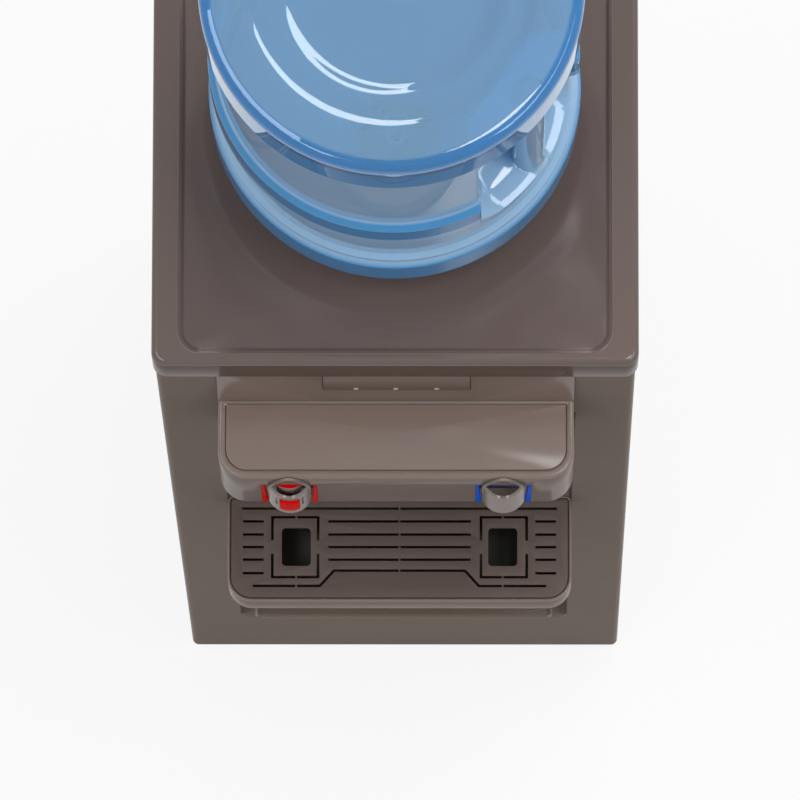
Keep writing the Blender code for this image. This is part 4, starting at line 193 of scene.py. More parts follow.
def capped(grid):
    """Close both ends of a grid of rings by shrinking them to the middle of each end."""
    grid = np.asarray(grid, float)
    ends = [np.broadcast_to(grid[at].mean(0), grid[at].shape)[None] for at in (0, -1)]
    return np.concatenate([ends[0], grid, ends[1]])


# %% [markdown]
# Profiles turn a corner in three ways: a line with rounded corners, a rounded lower edge and a
# rounded upper edge. The last two are rows of how far a ring is drawn in, and at what height.

# %% Lines and edges


def rounded_line(rows, steps=6):
    """Line through rows (across, up, radius): a rounded corner P becomes P + t ((1 - s)^2 a +
    s^2 b) for s from 0 to 1, where a and b point along its two sides and t is the length that
    the radius takes of each."""
    rows = np.asarray(rows, float)
    points, radii = rows[:, :2], rows[:, 2]
    share = np.linspace(0, 1, steps + 1)[:, None]
    made = [points[:1]]
    for before, place, after, radius in zip(points, points[1:], points[2:], radii[1:]):
        if radius == 0:
            made.append(place[None])
            continue
        back, ahead = before - place, after - place
        reach, room = np.linalg.norm(back), np.linalg.norm(ahead)
        back, ahead = back / reach, ahead / room
        half = math.acos(np.clip(back @ ahead, -1, 1)) / 2
        take = min(radius / max(math.tan(half), 1e-6), reach * 0.499, room * 0.499)
        made.append(place + take * ((1 - share) ** 2 * back + share ** 2 * ahead))
    return np.concatenate(made + [points[-1:]])


def quarter(steps):
    """Angles from 0 to 90 degrees in equal steps."""
    return np.radians(np.linspace(0, 90, steps + 1))


def foot_edge(radius, z, steps=8):
    """Rows (inset, height) of a rounded lower edge: r (1 - sin a), z + r (1 - cos a)."""
    return [(radius * (1 - math.sin(a)), z + radius * (1 - math.cos(a))) for a in quarter(steps)]


def top_edge(radius, z, steps=8):
    """Rows (inset, height) of a rounded upper edge: r (1 - cos a), z - r (1 - sin a)."""
    return [(radius * (1 - math.cos(a)), z - radius * (1 - math.sin(a))) for a in quarter(steps)]


def about(middle, half):
    """Two places, a half width to each side of a middle."""
    return middle - half, middle + half


# %% [markdown]
# Most solids of such a cabinet are a plan carried upwards, a profile turned round an axis, a box
# or a tube. Each gives a grid, so that several of them can share one mesh.

# %% Rings, turned shapes, boxes and tubes


def plan_ring(half_x, low_y, high_y, near, far, level, steps=10):
    """Rectangle at one height, its corners quarter circles c + r (cos a, sin a), anticlockwise."""
    made = []
    for x, y, radius, start in (
        (-half_x + near, low_y + near, near, 180), (half_x - near, low_y + near, near, 270),
        (half_x - far, high_y - far, far, 0), (-half_x + far, high_y - far, far, 90),
    ):
        angle = quarter(steps) + math.radians(start)
        made.append(np.stack([x + radius * np.cos(angle), y + radius * np.sin(angle)], 1))
    flat = np.concatenate(made)
    return np.column_stack([flat, np.full(len(flat), level)])


def along(axis, first, second, third):
    """Points whose third coordinate runs along an axis."""
    order = {"Z": (first, second, third), "Y": (first, third, second), "X": (third, first, second)}
    return np.stack(np.broadcast_arrays(*order[axis]), -1)


def turned(profile, place, count=96, axis="Z"):
    """Turn (radius, height) pairs round an axis: (r cos a, r sin a, h), carried to a place."""
    angle = np.linspace(0, 2 * np.pi, count, endpoint=False)
    radius, rise = np.asarray(profile, float).T[:, :, None]
    return along(axis, radius * np.cos(angle), radius * np.sin(angle), rise) + np.array(place)


def slab(outline, low, high, axis="Z"):
    """Convex outline carried from low to high along an axis, with both ends closed."""
    first, second = np.asarray(outline, float).T
    return capped([along(axis, first, second, place) for place in (low, high)])


def box(x, y, z, soft=0.0, steps=3):
    """Closed box between two places on each axis, its upright, top and foot edges rounded by
    soft."""
    (left, right), (front, back), (foot, top) = sorted(x), sorted(y), sorted(z)
    rows = [(0, foot), (0, top)]
    if soft:
        rows = foot_edge(soft, foot, steps) + top_edge(soft, top, steps)
    rings = []
    for inset, level in rows:
        corner = max(soft - inset, 1e-5)
        half = (right - left) / 2 - inset
        rings.append(plan_ring(half, front + inset, back - inset, corner, corner, level, steps))
    return capped(np.array(rings) + ((left + right) / 2, 0, 0))


def tube(path, radius, count=12):
    """Carry a circle along a path: p + r (cos a n + sin a b), n and b square to the path."""
    path = np.asarray(path, float)
    ahead = np.gradient(path, axis=0)
    ahead /= np.linalg.norm(ahead, axis=1, keepdims=True)
    normal = np.zeros_like(path)
    side = np.cross(ahead[0], (0.0, 0.0, 1.0))
    side = side if np.linalg.norm(side) > 0.1 else np.cross(ahead[0], (0.0, 1.0, 0.0))
    for at, way in enumerate(ahead):
        side = side - way * (side @ way)
        side = side / np.linalg.norm(side)
        normal[at] = side
    other = np.cross(ahead, normal)
    angle = np.linspace(0, 2 * np.pi, count, endpoint=False)[None, :, None]
    swing = np.cos(angle) * normal[:, None] + np.sin(angle) * other[:, None]
    return capped(path[:, None] + radius * swing)


# %% [markdown]
# A piece is finished by cutting and fusing, by a small radius on its edges, and by its finish.
# Cuts and radii are modifiers, and each is baked at once, so that the next works on a plain mesh.

# %% Cutting, softening and dressing


def bake(item):
    """Make the mesh what the modifiers show, and take them off."""
    bpy.context.view_layer.update()
    shown = item.evaluated_get(bpy.context.evaluated_depsgraph_get())
    item.data = bpy.data.meshes.new_from_object(shown)
    item.modifiers.clear()
    return item


def carve(item, *tools, operation="DIFFERENCE"):
    """Cut a closed solid with others or fuse them to it, and remove them."""
    for tool in tools:
        modifier = item.modifiers.new("carve", "BOOLEAN")
        modifier.object, modifier.operation, modifier.solver = tool, operation, "MANIFOLD"
        bake(item)
        bpy.data.objects.remove(tool, do_unlink=True)
    return item


def soften(item, width, segments=2, angle=40):
    """Round every edge sharper than an angle, as a mould or a press leaves it."""
    bevel = item.modifiers.new("soft_edges", "BEVEL")
    bevel.width, bevel.segments = width, segments
    bevel.limit_method, bevel.angle_limit = "ANGLE", math.radians(angle)
    bevel.use_clamp_overlap = True
    return bake(item)


def dress(item, slot, body, *nodes, crease=35, look=None):
    """Give a piece its slot's finish or a look of its own, smooth shading with sharp creases and
    its body, and hide the CAD nodes that it stands for."""
    item.data.materials.clear()
    item.data.materials.append(look or FINISH[slot])
    item.data.shade_smooth()
    item.data.set_sharp_from_angle(angle=math.radians(crease))
    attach(item, body)
    if nodes:
        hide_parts(*nodes)
    print(item.name, len(item.data.polygons), "faces on", body)
    return item

# %% [markdown]
# ## Finishes
#
# The cabinet is glossy taupe plastic and paint. Injection-moulded ABS is glossy because the mould
# is polished, yet it is never a perfect mirror: the pigment clouds a little, the polish varies
# from place to place, and a textured mould leaves a fine spark-eroded grain. Paint, rubber and
# metal differ only in the size of these patterns, so one function makes every finish: it mixes
# two close shades, varies the roughness, and adds lumps only where the real surface has them. The
# front is seen at a very flat angle, where every bump is exaggerated, so its skin stays smooth.

# %% One function for the finishes
MM = 0.001
COLOUR = {"data_type": "RGBA"}
# Noise seldom leaves this span.
NOISE_SPAN = {"From_Min": 0.3, "From_Max": 0.7}


def material(name):
    """Empty material with its shader and the object coordinates that its patterns read."""
    made = bpy.data.materials.new(name)
    made.use_nodes = True
    tree = made.node_tree
    place = add(tree, "ShaderNodeTexCoord").outputs["Object"]
    return made, tree, tree.nodes["Principled BSDF"], place


def finish(name, light, dark, rough=(0.2, 0.3), shine=0.5, top=None, clouds=(90, 3.0, 0.5),
           wear=(25, 4.0, 0.5), lumps=None, depth=0.03, strength=0.6, drawn=(1, 1, 1), metal=0.0):
    """Pigment clouds between two shades, polish that wear moves from rough[0] to rough[1], and
    lumps of a depth in millimetres. Each pattern is its width in millimetres, its detail and how
    rough that is, and drawn scales all of them along the axes. Where top is set, the shine rises
    to it on rounded edges and on faces that look up."""
    made, tree, shader, place = material(name)
    place = add(tree, "ShaderNodeMapping", Vector=place, Scale=drawn).outputs["Vector"]
    noises = []
    for width, detail, uneven in filter(None, (clouds, wear, lumps)):
        pattern = {"Scale": 1 / (width * MM), "Detail": detail, "Roughness": uneven}
        noises.append(add(tree, "ShaderNodeTexNoise", Vector=place, **pattern).outputs["Fac"])
    shades = {"i6": linear(light), "i7": linear(dark)}
    shade = add(tree, "ShaderNodeMix", COLOUR, i0=noises[0], **shades).outputs[2]
    span = {"To_Min": rough[0], "To_Max": rough[1], **NOISE_SPAN}
    polish = add(tree, "ShaderNodeMapRange", Value=noises[1], **span).outputs[0]
    if top is not None:
        facing = add(tree, "ShaderNodeNewGeometry").outputs["Normal"]
        upward = add(tree, "ShaderNodeSeparateXYZ", Vector=facing).outputs["Z"]
        span = {"From_Min": 0.05, "From_Max": 0.35, "To_Min": shine, "To_Max": top}
        shine = add(tree, "ShaderNodeMapRange", Value=upward, **span).outputs[0]
    feed(shader, Base_Color=shade, Roughness=polish, Specular_IOR_Level=shine, Metallic=metal)
    if lumps:
        relief = {"Distance": depth * MM, "Strength": strength}
        feed(shader, Normal=add(tree, "ShaderNodeBump", Height=noises[2], **relief).outputs[0])
    return made


# %% [markdown]
# Each finish belongs to a material slot of the frame, and a few pieces have a look of their own.

# %% Moulded plastics
FINISH = {
    # Polished ABS of the cover: an even dark taupe with clear soft reflections.
    "cover_plastic": finish("polished_cover_abs", "62534d", "5f504a", (0.10, 0.15), 0.006, 0.45),
    # The same ABS on the front: at a flat angle a full gloss would only mirror the floor.
    "panel_plastic": finish("gloss_front_panel_abs", "76685e", "73655b", (0.16, 0.22), 0.002, 0.45),
    # Housing and tray: a lighter taupe.
    "nose_plastic": finish("gloss_housing_abs", "7d6d65", "7a6a62", (0.14, 0.20), 0.004, 0.45),
    # Satin grid: a darker taupe with blurred reflections.
    "dark_grid_plastic": finish("satin_grid_abs", "685c56", "645852", (0.36, 0.46), 0.12,
                                lumps=(0.8, 2.0, 0.6), depth=0.01),
    # Spark-eroded polypropylene: black, dull, with grain that the eye sees as a soft sheen.
    "black_plastic": finish("spark_textured_black_pp", "1b1613", "120f0d", (0.45, 0.60), 0.3,
                            lumps=(0.5, 2.0, 0.6)),
    # Satin grey ABS of the lock's guide, painted lighter than its own grey: painted light that
    # makes up for the lever's shade it stands in.
    "grey_plastic": finish("satin_grey_abs", "a89e97", "a0968f", (0.35, 0.45), 0.1,
                           lumps=(0.6, 2.0, 0.6), depth=0.01),
    # Natural polypropylene: waxy off-white.
    "white_plastic": finish("natural_white_pp", "e6e4df", "dcdad4", (0.30, 0.42)),
    # Gloss signal colours of the two taps.
    "red_plastic": finish("gloss_red_abs", "e00404", "d40303", (0.22, 0.30), 0.001),
    "blue_plastic": finish("gloss_blue_abs", "0c5ce0", "0854d0", (0.22, 0.30), 0.001),
}
# Levers: the housing's taupe, glossy enough for the lamps to draw bands down their bow.
lever_abs = finish("gloss_lever_abs", "80736c", "7c6f68", (0.14, 0.18), 0.015, 0.5)
# Frosted light pipe: pale, a painted glow that stands in for the light of the board's lamps carried
# forward.
lens_abs = finish("frosted_light_pipe_acrylic", "b9aea9", "b0a5a0", (0.35, 0.45), 0.4)
print("plastics:", len(bpy.data.materials))

# %% [markdown]
# The side and rear panels are sheet steel with a baked powder coat. Powder melts into a skin with
# a fine orange peel, lumps about 2 mm across, which is what softens its reflections. Rubber, foam
# and enamel are coats in the same sense: one colour that hardly varies over lumps of their own
# size.

# %% Coats and soft finishes


def coated(name, light, dark, rough=(0.30, 0.45), peel=2.2, depth=0.02, shine=0.3):
    """Coat: clouds 120 mm across between two shades, over lumps of peel's width and depth."""
    return finish(name, light, dark, rough, shine, clouds=(120, 2.0, 0.5), wear=(30, 3.0, 0.5),
                  lumps=(peel, 1.0, 0.5), depth=depth, strength=0.5)


FINISH.update({
    # Powder coat in the cabinet's taupe: soft broad sheen over fine orange peel.
    "painted_steel": coated("powder_coated_taupe_steel", "665a54", "625650", (0.30, 0.40),
                            shine=0.03),
    # Enamel baked on the compressor and condenser: nearly black, semi-gloss.
    "black_steel": coated("black_enamelled_steel", "1c1d1f", "151618", (0.30, 0.42), 1.5),
    # Silicone hose: milky and matt.
    "silicone": coated("translucent_white_silicone", "dfe2de", "d2d5d0", (0.45, 0.55), 4.0),
    # Moulded rubber: dull dark grey, faintly grained.
    "rubber": coated("moulded_black_rubber", "232324", "1a1a1b", (0.70, 0.85), 1.0, 0.08),
    # Poured polyurethane foam: cream, open pores, hardly any shine.
    "foam": coated("cream_polyurethane_foam", "ede6d2", "dcd4bd", (0.85, 0.95), 1.6, 0.5, 0.2),
    # Solder mask on the indicator board.
    "circuit_board": coated("green_solder_mask", "23633d", "1c5532", peel=1.2),
})
print("with coats:", len(bpy.data.materials))

# %% [markdown]
# Bare metals keep the marks of how they were made. Drawing a tank or a tube pulls its scratches
# out along one axis, so the noise is stretched along it, and it moves the tint and the polish
# together.

# %% Bare metals


def bare(name, light, dark, rough, width, drawn=(1, 1, 1)):
    """Bare metal: streaks of a width, drawn out along the axis that drawn makes small."""
    streaks = (width, 4.0, 0.6)
    return finish(name, light, dark, rough, clouds=streaks, wear=streaks, drawn=drawn, metal=1.0)


FINISH.update({
    # Drawn stainless steel of the tanks: pale, with fine upright streaks.
    "bare_steel": bare("drawn_stainless_steel", "c4c6c8", "aeb0b2", (0.24, 0.36), 6, (1, 1, 0.08)),
    # Copper tube a few weeks old: warm, with the first brown tarnish in patches.
    "copper": bare("bare_copper_tube", "c4764a", "a85c36", (0.25, 0.40), 12),
})
# Zinc plate on the screws: bright and slightly mottled.
zinc_steel = bare("zinc_plated_screw_steel", "c9ccce", "b4b6b2", (0.25, 0.38), 2)
print("finishes:", len(bpy.data.materials))

# %% [markdown]
# A plain pale floor and broad soft light from above. The cabinet is tall and the view is almost
# straight down, so its front panel is seen at a very flat angle: what lights it is the floor and
# the air in front of it. So an even pale room does about half of the lighting. The camera,
# glossy and see-through rays find pure white; the floor mixes that white with its lit paper, so
# that it keeps the object's shadow.

# %% Floor and room
FLOOR_HALF, SHADOW_SHARE, ROOM_LIGHT = 12.0, 0.14, 0.42
WHITE, FIBRE = (1.0, 1.0, 1.0, 1.0), 3.0 * MM
paper, tree, shader, place = material("white_backdrop_paper")
pattern = {"Scale": 1 / FIBRE, "Detail": 2.0}
fibres = add(tree, "ShaderNodeTexNoise", Vector=place, **pattern).outputs["Fac"]
shades = {"i6": linear("f6f6f6"), "i7": linear("f2f2f2")}
shade = add(tree, "ShaderNodeMix", COLOUR, i0=fibres, **shades).outputs[2]
feed(shader, Base_Color=shade, Roughness=0.9, Specular_IOR_Level=0.1)


def unlit_share(tree):
    """Share 1 for camera, glossy and transmission rays, and 0 for the rays that light things."""
    path = add(tree, "ShaderNodeLightPath").outputs
    share = path["Is Camera Ray"]
    for ray in ("Is Glossy Ray", "Is Transmission Ray"):
        larger = add(tree, "ShaderNodeMath", {"operation": "MAXIMUM"}, i0=share, i1=path[ray])
        share = larger.outputs[0]
    return share


kept = {"operation": "MULTIPLY"}
share = add(tree, "ShaderNodeMath", kept, i0=unlit_share(tree), i1=1 - SHADOW_SHARE).outputs[0]
glow = add(tree, "ShaderNodeEmission", Color=WHITE, Strength=1.0).outputs[0]
both = add(tree, "ShaderNodeMixShader", i0=share, i1=shader.outputs[0], i2=glow)
feed(tree.nodes["Material Output"], Surface=both.outputs[0])
span_x, span_y = np.meshgrid(np.linspace(-1, 1, 9), np.linspace(-1, 1, 9), indexing="ij")
plane = np.stack([span_x, span_y, 0 * span_x], -1) * FLOOR_HALF
floor = surface("studio_floor", plane, ring=False)
floor.data.materials.append(paper)
floor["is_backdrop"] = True

room = bpy.data.worlds.new("soft_studio")
bpy.context.scene.world = room
room.use_nodes = True
tree = room.node_tree
backdrop = add(tree, "ShaderNodeBackground", Color=WHITE, Strength=1.0).outputs[0]
ambient = add(tree, "ShaderNodeBackground", Color=WHITE, Strength=ROOM_LIGHT).outputs[0]
both = add(tree, "ShaderNodeMixShader", i0=unlit_share(tree), i1=ambient, i2=backdrop)
feed(tree.nodes["World Output"], Surface=both.outputs[0])
print("floor:", len(floor.data.polygons), "faces")

# %% [markdown]
# Four soft lamps hang high above the object and draw the highlights on its edges, its shelf and
# the bottle. At that height none of them is mirrored in the upright faces of the cabinet.

# %% Lamps


def lamp(name, place, target, size, power):
    """Rectangular soft lamp at a place, turned to face a target."""
    light = bpy.data.lights.new(name, "AREA")
    light.shape, light.energy = "RECTANGLE", power
    light.size, light.size_y = size
    item = put(name, light)
    item.location = place
    item.rotation_euler = (Vector(target) - Vector(place)).to_track_quat("-Z", "Y").to_euler()


lamp("key_front_left", (-1.3, -0.7, 3.4), (0, 0, 1.1), (2.4, 0.8), 28)
lamp("strip_back_right", (1.15, 1.95, 2.9), (0, 0, 1.1), (3.6, 0.5), 42)
lamp("fill_front_right", (1.5, -0.5, 3.0), (0, 0, 1.0), (1.6, 0.6), 16)
lamp("spot_over_right", (0.55, -0.20, 3.35), (0, -0.05, 1.4), (0.5, 0.5), 7)
print("lamps:", len(bpy.data.lights))

# %% [markdown]
# ## The top cover
#
# The cover is a shallow moulded lid. Its rim turns over a soft edge, then a flat border runs to a
# fine bead, and inside the bead the top sinks by two millimetres into a dish that leads spilt
# water to the bottle's seat. It is one wall that goes round: each ring is the same rounded
# rectangle, drawn in a little more, at its own height.

# %% The cover
cover_low, cover_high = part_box("top_cover")
seat_low, seat_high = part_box("seat_funnel")
AXIS_Y = (seat_low.y + seat_high.y) / 2
TOP = cover_high.z
BORDER_SIDE, BORDER_FRONT, DISH_CORNER = 19.5 * MM, 9.0 * MM, 16.0 * MM
DISH_DEPTH, DISH_SLOPE, COVER_WALL = 2.0 * MM, 4.0 * MM, 3.0 * MM
PLAN_CORNER, TOP_EDGE, LIP_EDGE, BEAD = 10.0 * MM, 5.0 * MM, 0.8 * MM, 0.35 * MM
BEAD_OUT, BEAD_WIDE, FLAT_OUT = 1.4 * MM, 1.2 * MM, 1.6 * MM
HOLE, HOLE_EDGE, LEAST_CORNER = 100.0 * MM, 3.0 * MM, 0.5 * MM
CORNER_STEPS = 16


def rim_ring(inset, level):
    """Ring of the cover's rim, drawn in by an inset."""
    radius = max(PLAN_CORNER - inset, LEAST_CORNER)
    half, front, back = cover_high.x - inset, cover_low.y + inset, cover_high.y - inset
    return plan_ring(half, front, back, radius, radius, level, CORNER_STEPS)


def dish_ring(inset, level):
    """Ring of the dish inside the border, drawn in by an inset."""
    half, radius = cover_high.x - BORDER_SIDE - inset, DISH_CORNER - inset
    front, back = cover_low.y + BORDER_FRONT + inset, cover_high.y - BORDER_FRONT - inset
    return plan_ring(half, front, back, radius, radius, level, CORNER_STEPS)


def hole_ring(radius, level):
    """Circle with one point for each point of the other rings, starting at the same corner."""
    count = 4 * (CORNER_STEPS + 1)
    angle = np.pi + (np.arange(count) + 0.5) * 2 * np.pi / count
    x, y = radius * np.cos(angle), AXIS_Y + radius * np.sin(angle)
    return np.column_stack([x, y, np.full(count, level)])


floor_z = TOP - DISH_DEPTH
rings = [rim_ring(COVER_WALL, cover_low.z)]
rings += [rim_ring(*row) for row in foot_edge(LIP_EDGE, cover_low.z, 4) + top_edge(TOP_EDGE, TOP)]
rings += [dish_ring(-FLAT_OUT, TOP)]
for s in np.linspace(0, 1, 7):
    rings.append(dish_ring(BEAD_WIDE * s - BEAD_OUT, TOP + BEAD * math.sin(math.pi * s)))
for s in np.linspace(0.06, 1, 9):
    rings.append(dish_ring(DISH_SLOPE * s, TOP - DISH_DEPTH * (1 - math.cos(math.pi * s)) / 2))
rings += [hole_ring(HOLE + out, floor_z - drop) for out, drop in foot_edge(HOLE_EDGE, 0, 4)]
rings += [hole_ring(HOLE, floor_z - COVER_WALL), rim_ring(COVER_WALL, floor_z - COVER_WALL)]
cover = surface("cover_moulding", rings, loop=True)
dress(cover, "cover_plastic", "cabinet", "top_cover", crease=50)

# %% [markdown]
# ## The bottle
#
# A five-gallon bottle is blow-moulded polycarbonate, less than two millimetres thick, standing on
# its neck. Blowing gives every ring and step a soft radius. The wall is turned round the axis, so
# a profile of radius against height is enough, apart from the hand grip: there the wall is
# pressed in towards a flat floor, over a rounded rectangle, by a smooth share.

# %% The bottle's profile
WALL, TOP_RING, WAIST_RING, SMALL_RING, HEEL, NECK = 123.5, 130.5, 128.5, 127.5, 130.2, 28.0
BOTTLE_WALL, PROFILE_STEP = 1.8 * MM, 2.5 * MM
# Rows are radius, height above the cover and rounding, in millimetres, from base to mouth.
outline = [
    (0, 356, 0), (64, 356, 30), (79, 363.5, 27), (92, 363.5, 20), (101, 368, 20),
    (TOP_RING, 368, 11), (TOP_RING, 319, 4), (WALL, 313, 4),
    (WALL, 186, 3), (WAIST_RING, 180, 3), (WAIST_RING, 145, 3), (WALL, 139, 3),
    (WALL, 94, 2), (SMALL_RING, 90, 2), (SMALL_RING, 86, 2), (WALL, 82, 2.5),
    (HEEL, 77, 3), (HEEL, 40, 26), (112.7, 9.7, 12), (36, -34.6, 8), (NECK, -46, 8), (NECK, -95, 0),
]
profile = rounded_line(np.array(outline) * MM)
steps = np.linalg.norm(np.diff(profile, axis=0), axis=1)
travel = np.concatenate([[0], np.cumsum(steps)])
fine = np.concatenate([travel, np.arange(0, travel[-1], PROFILE_STEP)]).round(6)
profile = np.stack([np.interp(np.unique(fine), travel, profile[:, at]) for at in (0, 1)], 1)
print("bottle profile:", len(profile), "points,", round(travel[-1], 3), "m along the wall")

# %% [markdown]
# The grip's share is 1 inside a rounded rectangle and 0 outside, and it eases over the draft of
# the mould. Inside, the radius is the flat floor's own: floor / cos(angle from the grip's middle).

# %% Its wall, pressed in at the grip
WALL_RADIUS, GRIP_TURN = WALL * MM, math.radians(57.5)
GRIP_HALF, GRIP_LOW, GRIP_HIGH = 56.0 * MM, 125.0 * MM, 290.0 * MM
GRIP_FLOOR, GRIP_CORNER, GRIP_DRAFT = 85.5 * MM, 16.0 * MM, 5.0 * MM
FINE_SPAN, FINE_TURN, COARSE_TURN = 36, 0.6, 2.4


def eased(distance, width):
    """Share 1 well inside a line and 0 well outside: 3 s^2 - 2 s^3 across a width."""
    share = np.clip(0.5 - distance / (2 * width), 0, 1)
    return share * share * (3 - 2 * share)


def box_distance(across, up, half_across, half_up, corner):
    """Distance from the edge of a rounded rectangle about 0, negative inside it."""
    right = np.abs(across) - (half_across - corner)
    above = np.abs(up) - (half_up - corner)
    outside = np.hypot(np.maximum(right, 0), np.maximum(above, 0))
    return outside + np.minimum(np.maximum(right, above), 0) - corner


def bottle_wall(profile):
    """Rows of points (r cos a, r sin a, h) with r = profile (1 - m) + floor / cos(a - grip) m."""
    fine = np.arange(-FINE_SPAN, FINE_SPAN, FINE_TURN)
    angle = np.concatenate([fine, np.arange(FINE_SPAN, 360 - FINE_SPAN, COARSE_TURN)])
    angle = np.radians(angle)
    radius, level = profile.T[:, :, None]
    across = np.where(np.cos(angle) > 0, WALL_RADIUS * np.sin(angle), 1.0)
    up = level - (GRIP_LOW + GRIP_HIGH) / 2
    distance = box_distance(across, up, GRIP_HALF, (GRIP_HIGH - GRIP_LOW) / 2, GRIP_CORNER)
    share = eased(distance, GRIP_DRAFT)
    floor_radius = GRIP_FLOOR / np.maximum(np.cos(angle), 0.3)
    pressed = radius * (1 - share) + np.minimum(floor_radius, radius) * share
    heading = angle + GRIP_TURN - np.pi / 2
    x, y = pressed * np.cos(heading), AXIS_Y + pressed * np.sin(heading)
    return np.stack([x, y, TOP + level + 0 * angle], -1)


def inner_wall(rows, wall):
    """The same rows moved inwards by wall, square to the surface."""
    normal = np.cross(np.roll(rows, -1, 1) - np.roll(rows, 1, 1), np.gradient(rows, axis=0))
    size = np.linalg.norm(normal, axis=-1, keepdims=True)
    normal = normal / np.maximum(size, 1e-12)
    normal[size[..., 0] < 1e-12] = (0, 0, 1)
    centre = np.array([0, AXIS_Y, TOP + 0.15])
    outwards = np.sign(((rows - centre) * normal)[len(rows) // 3].sum())
    inner = rows - wall * outwards * normal
    inner[0] = inner[0].mean(0)
    inner[-1, :, 2] = rows[-1, :, 2]
    return inner


outer = bottle_wall(profile)
inner = inner_wall(outer, BOTTLE_WALL)
bottle = surface("bottle_shell", np.concatenate([outer, inner[::-1]]))
print("bottle:", len(bottle.data.polygons), "faces")

# %% [markdown]
# The grip's bar is a hollow post of the same wall, flared at both ends where the blown plastic
# runs into the pocket.

# %% The grip's bar
BAR, BAR_IN, BAR_FLARE, BAR_SINK, FLARE_REACH = np.array((11, 2, 3, 6, 6)) * MM
height = np.linspace(GRIP_LOW - BAR_SINK, GRIP_HIGH + BAR_SINK, 61)
ends = np.minimum(height - height[0], height[-1] - height)
flare = BAR + BAR_FLARE * np.exp(-ends / FLARE_REACH)
bar_profile = [np.stack([radius, height], 1) for radius in (flare, flare - BOTTLE_WALL)]
bar_profile = np.concatenate([bar_profile[0], bar_profile[1][::-1]])
reach = WALL_RADIUS - BAR - BAR_IN
bar_place = (reach * math.sin(GRIP_TURN), AXIS_Y - reach * math.cos(GRIP_TURN), TOP)
bar = surface("grip_bar", turned(bar_profile, bar_place, 40), loop=True)
carve(bottle, bar, operation="UNION")

# %% [markdown]
# Clear blue polycarbonate is dyed right through, so its colour deepens with the length that the
# light travels inside it: pale where the wall is met head-on, deep blue along rims and rings. That
# is absorption in the volume. The blown skin also scatters, so about half of the wall is soft
# diffuse blue. Light and shade are painted into the tint as well: the upright wall, which gets less
# of the lamps, is more diffuse and a lighter blue, and the base, which looks up into them, is
# clearer and a deeper blue. A deeper blue still is painted on the heel and the rings outside the
# wall, where it stands in for the deep colour that light running along the curved plastic gives.

# %% Blue polycarbonate
# WALL_CLEAR and BASE_CLEAR carry painted light and shade: the upright wall is made more diffuse,
# the top-lit base clearer.
DYE, DYE_DENSITY, WALL_CLEAR, BASE_CLEAR = linear("1e8fd2"), 90.0, 0.46, 0.72
BASE_BAND, CLOUD, BLUR = (350 * MM, 400 * MM), 60 * MM, 2 * MM
# Heights of the heel and the rings, where a painted deep blue stands in for light running along the
# plastic.
PAINTED_DEEP_BANDS = [(20 * MM, 77 * MM), (157 * MM, 184 * MM), (320 * MM, 370 * MM)]
polycarbonate, tree, shader, place = material("blown_blue_polycarbonate")
pattern = {"Scale": 1 / CLOUD, "Detail": 2.0}
cloud = add(tree, "ShaderNodeTexNoise", Vector=place, **pattern).outputs["Fac"]
flatten = {"Location": (0, -AXIS_Y, 0), "Scale": (1, 1, 0)}
around = add(tree, "ShaderNodeMapping", Vector=place, **flatten).outputs["Vector"]
radius = add(tree, "ShaderNodeVectorMath", {"operation": "LENGTH"}, i0=around).outputs["Value"]
height = add(tree, "ShaderNodeSeparateXYZ", Vector=place).outputs["Z"]


def between(value, low, high):
    """Share 1 between two limits, 0 outside: two clamped ramps, one taken from the other."""
    rise = add(tree, "ShaderNodeMapRange", Value=value, From_Min=low - BLUR, From_Max=low)
    fall = add(tree, "ShaderNodeMapRange", Value=value, From_Min=high, From_Max=high + BLUR)
    ramps = {"i0": rise.outputs[0], "i1": fall.outputs[0]}
    return add(tree, "ShaderNodeMath", {"operation": "SUBTRACT"}, **ramps).outputs[0]


# Share of the base: its darker, clearer tint is painted shade for the face that the lamps light
# from above.
base = between(height, TOP + BASE_BAND[0], TOP + BASE_BAND[1])
painted_deep_blue = between(radius, WALL_RADIUS, 2 * WALL_RADIUS)
bands = 0.0
for low, high in PAINTED_DEEP_BANDS:
    band = between(height, TOP + low, TOP + high)
    bands = add(tree, "ShaderNodeMath", i0=bands, i1=band).outputs[0]
product = {"operation": "MULTIPLY"}
painted_deep_blue = add(tree, "ShaderNodeMath", product, i0=bands, i1=painted_deep_blue).outputs[0]
# The wall's light tint is painted light, for the upright wall that the lamps reach less.
tint = linear("b2defe")
for share, code in ((cloud, "abdafc"), (base, "93caee"), (painted_deep_blue, "2ca6e6")):
    tint = add(tree, "ShaderNodeMix", COLOUR, i0=share, i6=tint, i7=linear(code)).outputs[2]
clear = add(tree, "ShaderNodeMapRange", Value=base, To_Min=WALL_CLEAR, To_Max=BASE_CLEAR)
polish = add(tree, "ShaderNodeMapRange", Value=cloud, To_Min=0.0, To_Max=0.02, **NOISE_SPAN)
feed(shader, Base_Color=tint, Roughness=polish.outputs[0], IOR=1.585)
feed(shader, Transmission_Weight=clear.outputs[0])
dye = add(tree, "ShaderNodeVolumeAbsorption", Color=DYE, Density=DYE_DENSITY)
feed(tree.nodes["Material Output"], Volume=dye.outputs[0])
FINISH["bottle_plastic"] = polycarbonate
dress(bottle, "bottle_plastic", "bottle_body", "bottle", crease=60)

# %% [markdown]
# ## The front panel
#
# The front is one sheet with rounded upright edges and a long shallow channel that the housing
# and the tray sit in. The sheet is a height field wrapped round its two returns: the depth of the
# channel is multiplied by a share that goes from 0 to 1 across the outline of a rounded
# rectangle, over the small radius of the fold. Beside the housing the fold is a little further
# in, so that the housing closes it and no dark gap shows.

